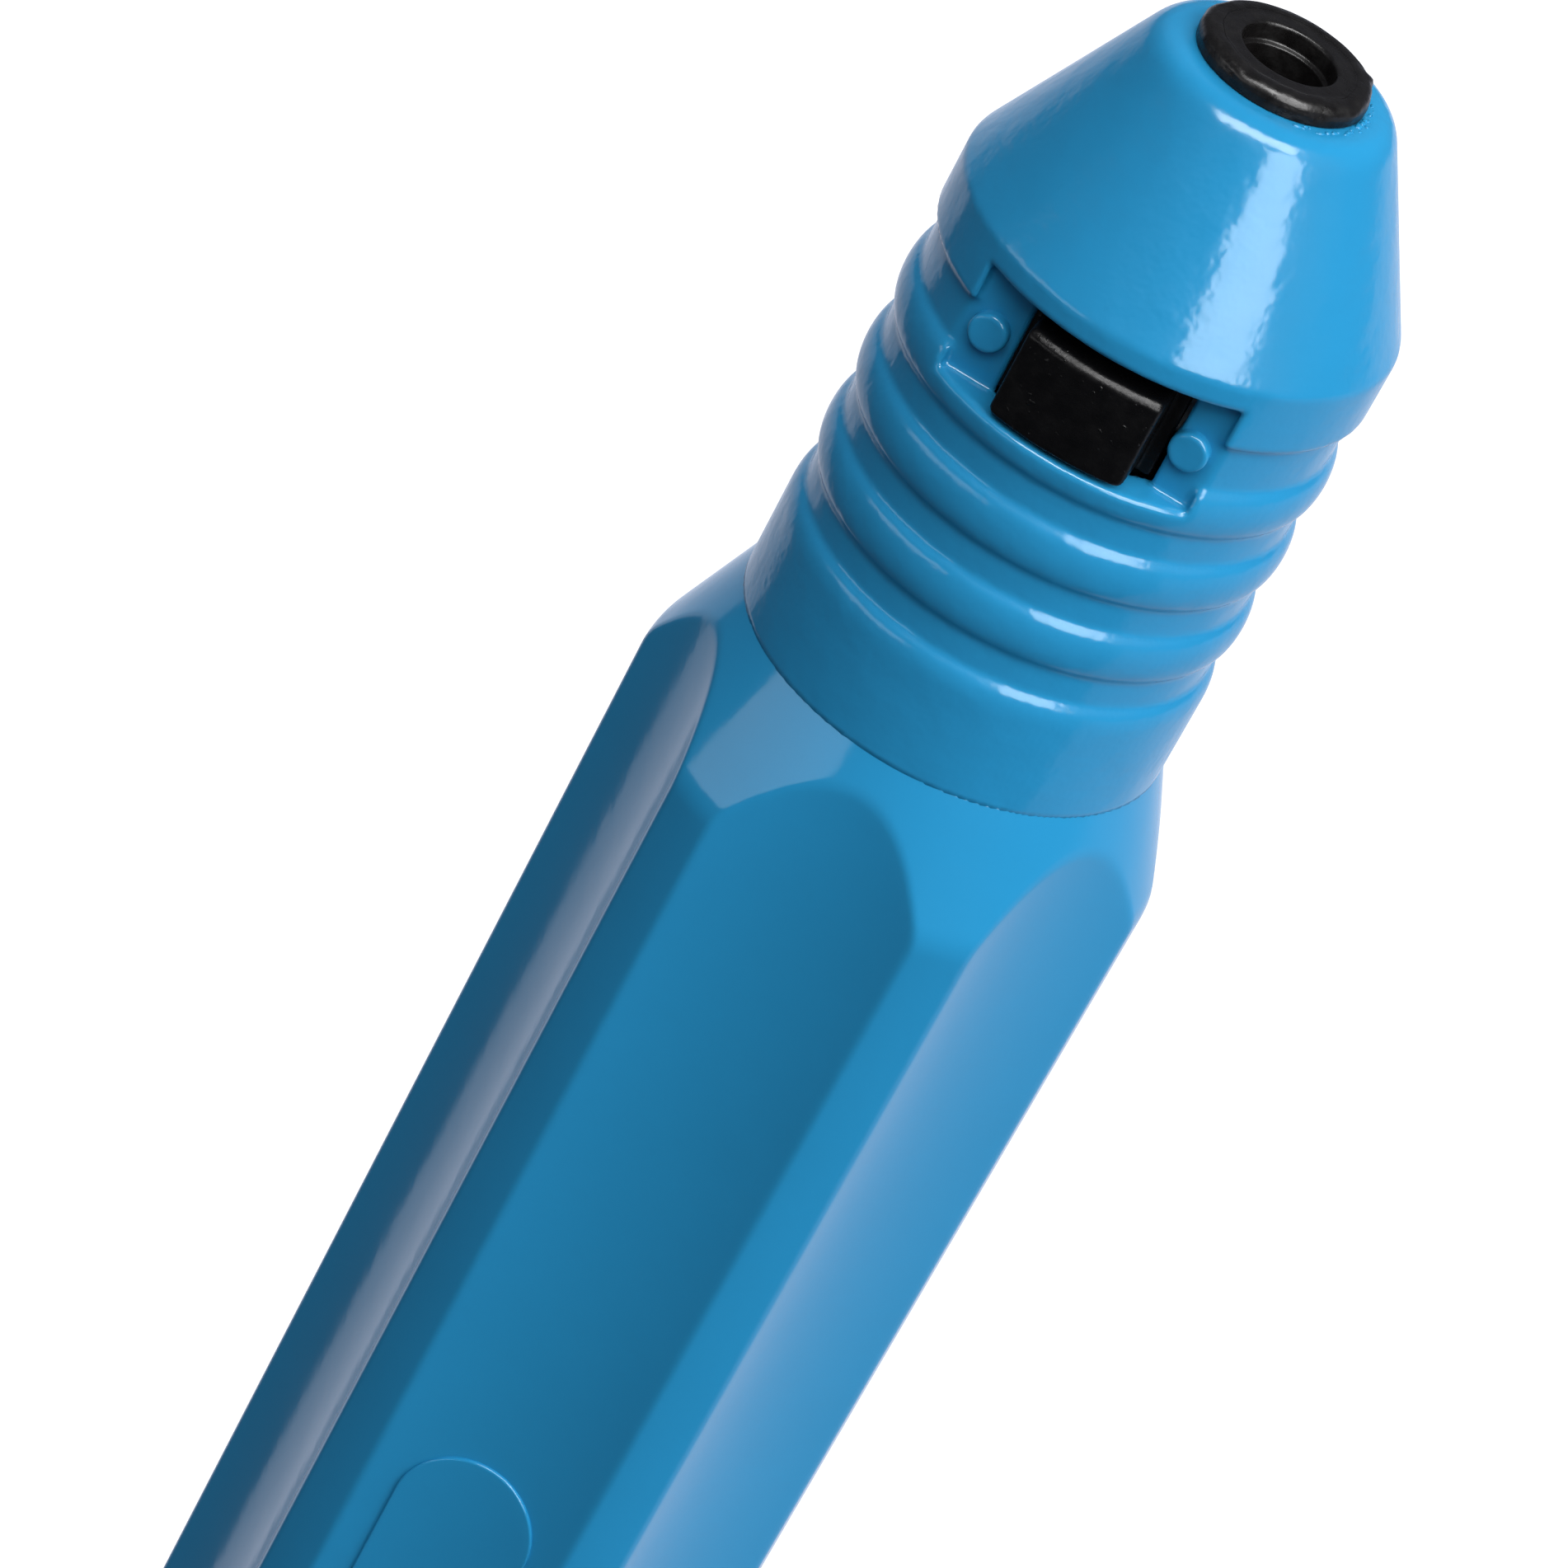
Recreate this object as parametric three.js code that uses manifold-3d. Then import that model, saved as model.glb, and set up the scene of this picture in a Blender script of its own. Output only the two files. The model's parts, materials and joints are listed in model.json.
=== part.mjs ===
// A straight, battery-driven pipette controller, standing on its end cap.
// Millimetres, +Z up towards the nose. The key and its pocket face -Y. The origin is at the middle of the foot.
import * as THREE from 'three';
import { mergeVertices } from 'three/addons/utils/BufferGeometryUtils.js';
import Module from 'manifold-3d';

const wasm = await Module();
wasm.setup();

// ---- driving dimensions ----

const GAP = 0.3; // room between neighbouring pieces
const LENGTH = 200; // foot to the socket's ring

// the nose, measured down from the ring
const RING_PROUD = 1.4;
const CONE_BASE_DROP = 14.2;
const RIM_DROP = 18.4;
const POCKET_TOP_DROP = 15.75;
const POCKET_LOW_DROP = 23.2;
const FIRST_RIB_DROP = 23.4;
const NECK_DROP = 46.5;
const LAND_DROP = 54.8;

const CONE_TOP_RADIUS = 7.4;
const NECK_RADIUS = 14.05;
const VALLEY_RADIUS = 13.54;
const RIB_PITCH = 5.55;
const RIB_COUNT = 4;
const RIB_HALF_WIDTH = 1.75;
const RIB_FLAT_HALF = 0.6;
const POCKET_HALF_WIDTH = 8.25;
const POCKET_FLOOR_Y = -10.5;
const RIM_SLOPE_HEIGHT = 0.4;
const NOSE_BORE_RADIUS = 11.2;
const NOSE_SPIGOT_LENGTH = 12; // what goes down into the grip
const CONE_ROOM_TOP_Z = 193.5;
const CONE_ROOM_TOP_RADIUS = 6.9;

// the grip
const GRIP_RADIUS = 17.5;
const FLUTE_COUNT = 6;
const FLUTE_FLOOR_RADIUS = 14.98;
const FLUTE_ARC_RADIUS = 24.7;
const FLUTE_ARC_HALF = THREE.MathUtils.degToRad(18);
const GRIP_LOW_Z = 15;
const GRIP_LOW_RADIUS = 14.8;
const GRIP_BUTT_Z = 22;
const BORE_RADIUS = 13;
const FIT_RADIUS = BORE_RADIUS - GAP; // what slides into the bore
const PAD_TOP_DROP = 106.4;
const PAD_LENGTH = 46;
const PAD_WIDTH = 9.7;
const PAD_PROUD = 0.3;

// the end cap and the battery bay
const CAP_TOP_Z = GRIP_LOW_Z - GAP;
const CAP_FOOT_RADIUS = 13.3;
const CAP_EDGE = 1.5;
const SPIGOT_TOP_Z = 19.5;
const CAP_FLOOR_Z = 12;
const CAP_CUP_RADIUS = 10.9;
const SEAL_GROOVE_Z = 17;
const SEAL_HALF_HEIGHT = 0.6;
const SEAL_GROOVE_RADIUS = FIT_RADIUS - 1.2;
const SEAL_SQUEEZE = 0.1; // room left between the seal and the bore
const CELL_RADIUS = 5.25;
const CELL_LENGTH = 44.5;
const CELL_LOW_Z = 20;
const CELL_CIRCLE = 7.1; // middle of a cell to the axis
const CELL_NUB = 1;
const CELL_NUB_RADIUS = 1.9;
const CELL_EDGE = 0.4;
const HOLDER_LOW_Z = 21;
const HOLDER_OPENING_HALF = 3.6; // half the width of each arm's side opening
const CONTACT_THICKNESS = 1.2;
const CONTACT_LOWER_RADIUS = 10.5;
const CONTACT_UPPER_Z = CELL_LOW_Z + CELL_LENGTH + GAP;
const SPRING_LOW_RADIUS = 2.9;
const SPRING_TOP_RADIUS = 2;
const SPRING_WIRE = 0.35;

// what fits in the bore has a flat at the back, which leaves a channel for the leads
const CHANNEL_FLAT_Y = 11.1;
const LEAD_Y = 11.85;
const LEAD_RADIUS = 0.45;

// the motor
const CRADLE_LOW_Z = 68.5;
const CRADLE_TOP_Z = 100;
const MOTOR_LOW_Z = 70;
const MOTOR_TOP_Z = 98;
const MOTOR_RADIUS = 10.2;
const CAN_WALL = 0.8;
const END_BELL_HEIGHT = 3.5;
const BUSH_RADIUS = 2.6;
const BUSH_BORE_RADIUS = 1.05;
const SHAFT_RADIUS = 1;
const SHAFT_LOW_Z = 70.8;
const SHAFT_TOP_Z = 105.2;
const ROTOR_RADIUS = 6.6;
const ROTOR_LOW_Z = 79;
const ROTOR_TOP_Z = 94;
const ROTOR_SLOT_RADIUS = 1.4;
const MAGNET_LOW_Z = 77.5;
const MAGNET_LENGTH = 18;
const MAGNET_HALF_ANGLE = THREE.MathUtils.degToRad(65);
const COMMUTATOR_RADIUS = 3;
const COMMUTATOR_LOW_Z = 74.4;
const COMMUTATOR_TOP_Z = 77.6;

// the pump
const PUMP_LOW_Z = 100.6;
const PUMP_FLOOR_TOP_Z = 102.2;
const PUMP_WALL_TOP_Z = 116.4;
const PUMP_INNER_RADIUS = 10.2;
const WOBBLE_TILT = THREE.MathUtils.degToRad(6);
const WOBBLE_Z = 112.5; // where the pin's axis crosses the shaft's
const WHEEL_RADIUS = 5.6;
const WHEEL_LOW_Z = 102.8;
const WHEEL_TOP_Z = 108.2;
const TILT_PIN_RADIUS = 0.7;
const TILT_PIN_LOW = -6.1; // along the tilted axis, from WOBBLE_Z
const SWING_ARM_LENGTH = 8.2;
const SWING_ARM_HALF_WIDTH = 1.3;
const SWING_ARM_HALF_HEIGHT = 0.7;
const SWING_PAD_CIRCLE = 7;
const CUP_CIRCLE = 6.4;
const CUP_RADIUS = 3;
const CUP_WALL = 0.7;
const DIAPHRAGM_THICKNESS = 1;
const SCREW_CIRCLE = 11.45;
const SCREW_HOLE_RADIUS = 0.9;
const VALVE_PLATE_TOP_Z = 120.5;
const FLAP_RADIUS = 9.8;
const FLAP_THICKNESS = 0.6;
const PUMP_COVER_ROOF_Z = 124.6;
const PUMP_COVER_TOP_Z = 127;
const NOZZLE_X = 4.5;
const NOZZLE_Y = 6.5;
const NOZZLE_RADIUS = 0.9;
const NOZZLE_HEIGHT = 4;
const NOZZLE_WAY_RADIUS = 0.45;

// the control board
const BOARD_HALF_WIDTH = 8.5;
const BOARD_FRONT_Y = 2.6;
const BOARD_BACK_Y = 3.8;
const BOARD_LOW_Z = 136;
const BOARD_TOP_Z = 166.7;
const RAIL_INNER_X = 8.1;
const RAIL_SLOT_X = 8.85;
const RAIL_FRONT_Y = 1.4;
const RAIL_BACK_Y = 5;
const RAIL_LOW_Z = 143.5;
const CHIP_HALF_WIDTH = 2.5;
const CHIP_THICKNESS = 1.4;
const CHIP_LOW_Z = 152;
const CHIP_TOP_Z = 158;
const CAPACITOR_RADIUS = 3;
const CAPACITOR_LENGTH = 7;
const CAPACITOR_Z = 143;

// the key, the air valve and the switch
const KEY_HALF_WIDTH = 4.43;
const KEY_LOW_Z = LENGTH - POCKET_LOW_DROP + GAP;
const KEY_TOP_Z = 183.2;
const KEY_FLANGE_HALF_WIDTH = 5.35;
const KEY_FLANGE_TOP_Z = 183.6;
const KEY_FLANGE_OUTER_Y = -10.3;
const KEY_FLANGE_INNER_Y = -9.3;
const KEY_PIN_X = 6.7;
const KEY_PIN_Z = 180.24;
const KEY_PIN_HEAD_RADIUS = 1.24;
const KEY_PIN_SHANK_RADIUS = 0.6;
const KEY_PIN_SHANK_END = 8.4; // towards the axis
const KEY_PIN_HOLE_RADIUS = 0.9;
const VALVE_RADIUS = 10.8;
const VALVE_FRONT_Y = -7.6;
const VALVE_LOW_Z = 179.2;
const VALVE_TOP_Z = 184.3;
const SPOOL_Z = 181.6;
const SPOOL_BORE_RADIUS = 1.75;
const SPOOL_END_Y = 5;
const SPOOL_SPRING_Y = SPOOL_END_Y + GAP;
const SPOOL_SPRING_LENGTH = 3.1;
const SPOOL_PLUG_Y = SPOOL_SPRING_Y + SPOOL_SPRING_LENGTH + GAP;
const SPOOL_PLUG_LENGTH = 1.7;
const SWITCH_LOW_Z = 174.8;
const SWITCH_TOP_Z = 178.9;
const SWITCH_HALF_WIDTH = 3.2;
const SWITCH_FRONT_Y = -7;
const SWITCH_BACK_Y = -1;
const PLUNGER_Z = 177.8;
const PLUNGER_RADIUS = 0.55;
const PLUNGER_END_Y = -5;
const PLUNGER_BORE_RADIUS = 0.7;
const PLUNGER_BORE_END_Y = -3.4;

// the air path
const SOCKET_MOUTH_RADIUS = 3;
const SOCKET_MOUTH_DEPTH = 7;
const SOCKET_RING_RADIUS = 5.5;
const SOCKET_TAIL_RADIUS = 4.6;
const SOCKET_LOW_Z = 190;
const SOCKET_AIR_RADIUS = 1.65;
const SOCKET_EDGE = 0.5;
const FILTER_LOW_Z = 184.7;
const FILTER_RADIUS = 6.6;
const FILTER_WALL = 0.7;
const FILTER_FLOOR = 1.3;
const FILTER_WALL_TOP_Z = 188;
const FILTER_INNER_RADIUS = 5.5;
const FILTER_DISC_THICKNESS = 0.8;
const FILTER_LID_Z = FILTER_LOW_Z + FILTER_FLOOR + GAP + FILTER_DISC_THICKNESS + GAP;
const FILTER_LID_THICKNESS = 1;
const FILTER_NOSE_TOP_Z = 192;
const FILTER_NOSE_RADIUS = 1.3;
const FILTER_AIR_RADIUS = 0.6;
const TUBE_OUTER_RADIUS = 2;
const TUBE_INNER_RADIUS = 1.2;
const TUBE_TOP_X = 4;
const TUBE_TOP_Y = 7.5;

const FINE = 36; // segments round the large pieces
const MEDIUM = 20;
const COARSE = 12;
const HOLE = 8;

// ---- colours ----

const paint = (color, roughness, metalness = 0) =>
  new THREE.MeshStandardMaterial({ color, roughness, metalness });
const BLUE = paint(0x3a8cc4, 0.25);
const BLACK = paint(0x141414, 0.4);
const RUBBER = paint(0x2a2828, 0.8);
const CLEAR_RUBBER = paint(0xd8dcd8, 0.5);
const GREY = paint(0x8a8f94, 0.5);
const WHITE = paint(0xe8e8e4, 0.45);
const STEEL = paint(0xb8bcc0, 0.3, 1);
const DARK_STEEL = paint(0x4c4f54, 0.5, 1);
const COPPER = paint(0xb86b3c, 0.35, 1);
const BRASS = paint(0xc8a850, 0.3, 1);
const BOARD = paint(0x1f6b3a, 0.5);
const CELL_LABEL = paint(0x9aa4b0, 0.3);
const RED = paint(0xb02020, 0.5);

// ---- geometry helpers ----

// Shared vertices merged, flat triangles dropped, faces turned outwards.
function closed(geometry) {
  const bare = new THREE.BufferGeometry();
  bare.setAttribute('position', geometry.getAttribute('position').clone());
  if (geometry.index) bare.setIndex(geometry.index.clone());
  const merged = mergeVertices(bare, 1e-4);
  const index = merged.index.array;
  const corners = merged.getAttribute('position');
  const a = new THREE.Vector3();
  const b = new THREE.Vector3();
  const c = new THREE.Vector3();
  const kept = [];
  let volume = 0;
  for (let i = 0; i < index.length; i += 3) {
    const [p, q, r] = [index[i], index[i + 1], index[i + 2]];
    if (p === q || q === r || r === p) continue;
    a.fromBufferAttribute(corners, p);
    b.fromBufferAttribute(corners, q);
    c.fromBufferAttribute(corners, r);
    volume += a.dot(b.cross(c));
    kept.push(p, q, r);
  }
  if (volume < 0) kept.reverse();
  merged.setIndex(kept);
  merged.computeVertexNormals();
  return merged;
}

function toSolid(geometry) {
  const shape = closed(geometry);
  const vertProperties = new Float32Array(shape.getAttribute('position').array);
  const triVerts = new Uint32Array(shape.index.array);
  return new wasm.Manifold(new wasm.Mesh({ numProp: 3, vertProperties, triVerts }));
}

function fromSolid(solid) {
  const mesh = solid.getMesh();
  const geometry = new THREE.BufferGeometry();
  geometry.setAttribute('position', new THREE.BufferAttribute(new Float32Array(mesh.vertProperties), 3));
  geometry.setIndex(new THREE.BufferAttribute(new Uint32Array(mesh.triVerts), 1));
  return closed(geometry);
}

function join(...pieces) {
  return fromSolid(pieces.map(toSolid).reduce((whole, piece) => whole.add(piece)));
}

function cut(piece, ...tools) {
  return fromSolid(tools.map(toSolid).reduce((left, tool) => left.subtract(tool), toSolid(piece)));
}

// Points [radius, height] round the Z axis. A profile with no point on the axis closes on itself.
function revolve(profile, segments = FINE) {
  const points = profile.map(([radius, height]) => new THREE.Vector2(radius, height));
  if (profile[0][0] > 0) points.push(points[0].clone());
  const geometry = new THREE.LatheGeometry(points, segments);
  geometry.rotateX(Math.PI / 2);
  return closed(geometry);
}

function rod(radius, low, high, segments = COARSE) {
  return revolve([[0, low], [radius, low], [radius, high], [0, high]], segments);
}

function ring(inner, outer, low, high, segments = FINE) {
  return revolve([[inner, low], [outer, low], [outer, high], [inner, high]], segments);
}

function block(x0, x1, y0, y1, z0, z1) {
  const geometry = new THREE.BoxGeometry(x1 - x0, y1 - y0, z1 - z0);
  geometry.translate((x0 + x1) / 2, (y0 + y1) / 2, (z0 + z1) / 2);
  return closed(geometry);
}

function circle(radius, segments, x = 0, y = 0) {
  const points = [];
  for (let i = 0; i < segments; i += 1) {
    const angle = (2 * Math.PI * i) / segments;
    points.push(new THREE.Vector2(x + radius * Math.cos(angle), y + radius * Math.sin(angle)));
  }
  return points;
}

// A disc of radius with everything beyond y = flat taken off. The side of the flat is its sign.
function flattedDisc(radius, flat, segments = FINE) {
  const reach = Math.asin(Math.abs(flat) / radius);
  const start = flat > 0 ? Math.PI - reach : -reach;
  const sweep = Math.PI + 2 * reach;
  const points = [];
  for (let i = 0; i <= segments; i += 1) {
    const angle = start + (sweep * i) / segments;
    points.push(new THREE.Vector2(radius * Math.cos(angle), radius * Math.sin(angle)));
  }
  return points;
}

function plate(outline, holes, low, high) {
  const shape = new THREE.Shape(outline);
  for (const hole of holes) shape.holes.push(new THREE.Path(hole));
  const geometry = new THREE.ExtrudeGeometry(shape, { depth: high - low, bevelEnabled: false });
  geometry.translate(0, 0, low);
  return closed(geometry);
}

// A round wire or a hollow tube along a curve.
function alongCurve(curve, steps, outer, sides, inner = 0) {
  const shape = new THREE.Shape(circle(outer, sides));
  if (inner > 0) shape.holes.push(new THREE.Path(circle(inner, sides)));
  return closed(new THREE.ExtrudeGeometry(shape, { steps, bevelEnabled: false, extrudePath: curve }));
}

class Helix extends THREE.Curve {
  constructor(lowRadius, highRadius, height, turns) {
    super();
    Object.assign(this, { lowRadius, highRadius, height, turns });
  }

  getPoint(t, target = new THREE.Vector3()) {
    const angle = 2 * Math.PI * this.turns * t;
    const radius = THREE.MathUtils.lerp(this.lowRadius, this.highRadius, t);
    return target.set(radius * Math.cos(angle), radius * Math.sin(angle), this.height * t);
  }
}

function coilSpring(lowRadius, highRadius, height, turns, wire) {
  const curve = new Helix(lowRadius, highRadius, height - 2 * wire, turns);
  const geometry = alongCurve(curve, Math.round(turns * 8), wire, 5);
  geometry.translate(0, 0, wire);
  return geometry;
}

// Places round a circle, the first at the angle given in degrees.
function around(count, radius, first) {
  return Array.from({ length: count }, (_, i) => {
    const angle = THREE.MathUtils.degToRad(first + (360 * i) / count);
    return [radius * Math.cos(angle), radius * Math.sin(angle)];
  });
}

// ---- the model ----

const controller = new THREE.Group();

function add(name, geometry, material, parent = controller) {
  const mesh = new THREE.Mesh(geometry, material);
  mesh.name = name;
  parent.add(mesh);
  return mesh;
}

function groupAt(x, y, z, parent = controller) {
  const group = new THREE.Group();
  group.position.set(x, y, z);
  parent.add(group);
  return group;
}

// -- casing --

function fluteCutter() {
  const centreY = -(FLUTE_FLOOR_RADIUS + FLUTE_ARC_RADIUS);
  const outer = -(GRIP_RADIUS + 3);
  const points = [];
  const steps = 10;
  for (let i = 0; i <= steps; i += 1) {
    const angle = Math.PI / 2 - FLUTE_ARC_HALF + (2 * FLUTE_ARC_HALF * i) / steps;
    const x = FLUTE_ARC_RADIUS * Math.cos(angle);
    points.push(new THREE.Vector2(x, centreY + FLUTE_ARC_RADIUS * Math.sin(angle)));
  }
  const halfWidth = FLUTE_ARC_RADIUS * Math.sin(FLUTE_ARC_HALF);
  points.push(new THREE.Vector2(-halfWidth, outer), new THREE.Vector2(halfWidth, outer));
  return plate(points, [], GRIP_LOW_Z - 1, LENGTH - NECK_DROP + 1);
}

// The oval pad on the floor of the front flute.
function thumbPad() {
  const half = PAD_WIDTH / 2;
  const top = LENGTH - PAD_TOP_DROP - half;
  const low = LENGTH - PAD_TOP_DROP - PAD_LENGTH + half;
  const outline = [];
  const steps = 12;
  for (let i = 0; i <= steps; i += 1) {
    const angle = (Math.PI * i) / steps;
    outline.push(new THREE.Vector2(half * Math.cos(angle), top + half * Math.sin(angle)));
  }
  for (let i = 0; i <= steps; i += 1) {
    const angle = Math.PI + (Math.PI * i) / steps;
    outline.push(new THREE.Vector2(half * Math.cos(angle), low + half * Math.sin(angle)));
  }
  const deep = BORE_RADIUS + 0.4;
  const shallow = 16.4;
  const oval = plate(outline, [], deep, shallow).rotateX(Math.PI / 2);
  const facing = rod(FLUTE_ARC_RADIUS - PAD_PROUD, low - PAD_WIDTH, top + PAD_WIDTH, 96);
  facing.translate(0, -(FLUTE_FLOOR_RADIUS + FLUTE_ARC_RADIUS), 0);
  return cut(oval, facing);
}

function gripSleeve() {
  const blank = revolve([
    [BORE_RADIUS, GRIP_LOW_Z],
    [GRIP_LOW_RADIUS, GRIP_LOW_Z],
    [GRIP_RADIUS, GRIP_BUTT_Z],
    [GRIP_RADIUS, LENGTH - LAND_DROP],
    [NECK_RADIUS, LENGTH - NECK_DROP - GAP],
    [BORE_RADIUS, LENGTH - NECK_DROP - GAP],
  ], 72);
  const cutters = [];
  for (let i = 0; i < FLUTE_COUNT; i += 1) {
    cutters.push(fluteCutter().rotateZ((2 * Math.PI * i) / FLUTE_COUNT));
  }
  return join(cut(blank, ...cutters), thumbPad());
}

// The outline of the ribbed neck, from the shoulder up to the rim.
function ribbedNeck() {
  const points = [];
  for (let i = RIB_COUNT - 1; i >= 0; i -= 1) {
    const crest = LENGTH - FIRST_RIB_DROP - RIB_PITCH * i;
    const lowest = i === RIB_COUNT - 1;
    if (!lowest) points.push([VALLEY_RADIUS, crest - RIB_HALF_WIDTH], [NECK_RADIUS, crest - RIB_FLAT_HALF]);
    points.push([NECK_RADIUS, crest + RIB_FLAT_HALF], [VALLEY_RADIUS, crest + RIB_HALF_WIDTH]);
  }
  return points;
}

function noseHousing() {
  const spigotLow = LENGTH - NECK_DROP - NOSE_SPIGOT_LENGTH;
  const coneTop = LENGTH - RING_PROUD;
  const shell = revolve([
    [NOSE_BORE_RADIUS, spigotLow],
    [FIT_RADIUS, spigotLow],
    [FIT_RADIUS, LENGTH - NECK_DROP],
    [NECK_RADIUS, LENGTH - NECK_DROP],
    ...ribbedNeck(),
    [VALLEY_RADIUS, LENGTH - RIM_DROP - RIM_SLOPE_HEIGHT],
    [NECK_RADIUS, LENGTH - RIM_DROP],
    [NECK_RADIUS, LENGTH - CONE_BASE_DROP],
    [CONE_TOP_RADIUS + 0.5, coneTop - 1],
    [CONE_TOP_RADIUS - 0.5, coneTop],
    [SOCKET_TAIL_RADIUS + GAP, coneTop],
    [SOCKET_TAIL_RADIUS + GAP, CONE_ROOM_TOP_Z],
    [CONE_ROOM_TOP_RADIUS, CONE_ROOM_TOP_Z],
    [NOSE_BORE_RADIUS, VALVE_TOP_Z],
  ]);
  const pocketLow = LENGTH - POCKET_LOW_DROP;
  const pocketTop = LENGTH - POCKET_TOP_DROP;
  const opening = KEY_FLANGE_HALF_WIDTH + GAP;
  const pocket = block(-POCKET_HALF_WIDTH, POCKET_HALF_WIDTH, -20, POCKET_FLOOR_Y, pocketLow, pocketTop);
  const keyHole = block(-opening, opening, POCKET_FLOOR_Y - 1, -7, pocketLow, pocketTop);
  const pinHoles = [-1, 1].map((side) =>
    rod(KEY_PIN_HOLE_RADIUS, 7, 12).rotateX(Math.PI / 2).translate(side * KEY_PIN_X, 0, KEY_PIN_Z));
  return join(cut(shell, pocket, keyHole, ...pinHoles), boardRail(-1), boardRail(1));
}

// A slotted rail inside the neck, which the control board slides into.
function boardRail(side) {
  const slotTop = BOARD_TOP_Z + GAP;
  const rail = block(RAIL_INNER_X, NOSE_BORE_RADIUS - 0.35, RAIL_FRONT_Y, RAIL_BACK_Y, RAIL_LOW_Z, slotTop + 1);
  const slotFront = BOARD_FRONT_Y - GAP;
  const slotBack = BOARD_BACK_Y + GAP;
  const slot = block(RAIL_INNER_X - 1, RAIL_SLOT_X, slotFront, slotBack, RAIL_LOW_Z - 1, slotTop);
  const shaped = cut(rail, slot);
  if (side < 0) shaped.scale(-1, 1, 1);
  return closed(shaped);
}

add('grip_sleeve', gripSleeve(), BLUE);
add('nose_housing', noseHousing(), BLUE);

// -- end cap and lower contacts --

function endCap() {
  return revolve([
    [0, 0],
    [CAP_FOOT_RADIUS, 0],
    [GRIP_LOW_RADIUS, CAP_EDGE],
    [GRIP_LOW_RADIUS, CAP_TOP_Z],
    [FIT_RADIUS, CAP_TOP_Z],
    [FIT_RADIUS, SEAL_GROOVE_Z - SEAL_HALF_HEIGHT - GAP],
    [SEAL_GROOVE_RADIUS, SEAL_GROOVE_Z - SEAL_HALF_HEIGHT - GAP],
    [SEAL_GROOVE_RADIUS, SEAL_GROOVE_Z + SEAL_HALF_HEIGHT + GAP],
    [FIT_RADIUS, SEAL_GROOVE_Z + SEAL_HALF_HEIGHT + GAP],
    [FIT_RADIUS, SPIGOT_TOP_Z],
    [CAP_CUP_RADIUS, SPIGOT_TOP_Z],
    [CAP_CUP_RADIUS, CAP_FLOOR_Z],
    [0, CAP_FLOOR_Z],
  ]);
}

function capSeal() {
  const inner = SEAL_GROOVE_RADIUS + GAP;
  const outer = BORE_RADIUS - SEAL_SQUEEZE;
  const shoulder = outer - 0.2;
  const low = SEAL_GROOVE_Z - SEAL_HALF_HEIGHT;
  const high = SEAL_GROOVE_Z + SEAL_HALF_HEIGHT;
  return revolve([[inner, low], [shoulder, low], [outer, SEAL_GROOVE_Z], [shoulder, high], [inner, high]]);
}

const CELL_PLACES = around(3, CELL_CIRCLE, -90);

add('end_cap', endCap(), BLUE);
add('cap_seal', capSeal(), BLACK);
const plateLow = CAP_FLOOR_Z + GAP;
const springLow = plateLow + CONTACT_THICKNESS + GAP;
const springHeight = CELL_LOW_Z - GAP - springLow;
add('contact_plate_lower', rod(CONTACT_LOWER_RADIUS, plateLow, plateLow + CONTACT_THICKNESS, MEDIUM), WHITE);
CELL_PLACES.forEach(([x, y], i) => {
  const spring = coilSpring(SPRING_LOW_RADIUS, SPRING_TOP_RADIUS, springHeight, 3, SPRING_WIRE);
  add(`battery_spring_${i + 1}`, spring, STEEL, groupAt(x, y, springLow));
});

// -- batteries --

function batteryCell() {
  const shoulder = CELL_LENGTH - CELL_NUB;
  return revolve([
    [0, 0],
    [CELL_RADIUS - CELL_EDGE, 0],
    [CELL_RADIUS, CELL_EDGE],
    [CELL_RADIUS, shoulder - CELL_EDGE],
    [CELL_RADIUS - CELL_EDGE, shoulder],
    [CELL_NUB_RADIUS, shoulder],
    [CELL_NUB_RADIUS, CELL_LENGTH],
    [0, CELL_LENGTH],
  ], MEDIUM);
}

// Three arms that keep the cells apart.
function batteryHolder() {
  const top = CELL_LOW_Z + CELL_LENGTH - CELL_NUB - 0.5;
  const below = HOLDER_LOW_Z - 1;
  const above = top + 1;
  const disc = rod(FIT_RADIUS, HOLDER_LOW_Z, top, FINE);
  const bay = rod(CELL_RADIUS + GAP, below, above, MEDIUM);
  const bays = CELL_PLACES.map(([x, y]) => bay.clone().translate(x, y, 0));
  const opening = block(-HOLDER_OPENING_HALF, HOLDER_OPENING_HALF, -BORE_RADIUS, -CELL_CIRCLE, below, above);
  const channels = CELL_PLACES.map((_, i) => opening.clone().rotateZ((2 * Math.PI * i) / 3));
  return cut(disc, ...bays, ...channels);
}

add('battery_holder', batteryHolder(), GREY);
CELL_PLACES.forEach(([x, y], i) => {
  add(`battery_cell_${i + 1}`, batteryCell(), CELL_LABEL, groupAt(x, y, CELL_LOW_Z));
});

// The outline of whatever fits in the bore and leaves the channel for the leads.
const BORE_OUTLINE = flattedDisc(FIT_RADIUS, CHANNEL_FLAT_Y);
const contactTop = CONTACT_UPPER_Z + CONTACT_THICKNESS;
add('contact_plate_upper', plate(BORE_OUTLINE, [], CONTACT_UPPER_Z, contactTop), WHITE);

// -- motor --

function motorCan() {
  return revolve([
    [MOTOR_RADIUS - CAN_WALL, MOTOR_LOW_Z],
    [MOTOR_RADIUS, MOTOR_LOW_Z],
    [MOTOR_RADIUS, MOTOR_TOP_Z],
    [BUSH_RADIUS + GAP, MOTOR_TOP_Z],
    [BUSH_RADIUS + GAP, MOTOR_TOP_Z - CAN_WALL],
    [MOTOR_RADIUS - CAN_WALL, MOTOR_TOP_Z - CAN_WALL],
  ]);
}

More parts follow.
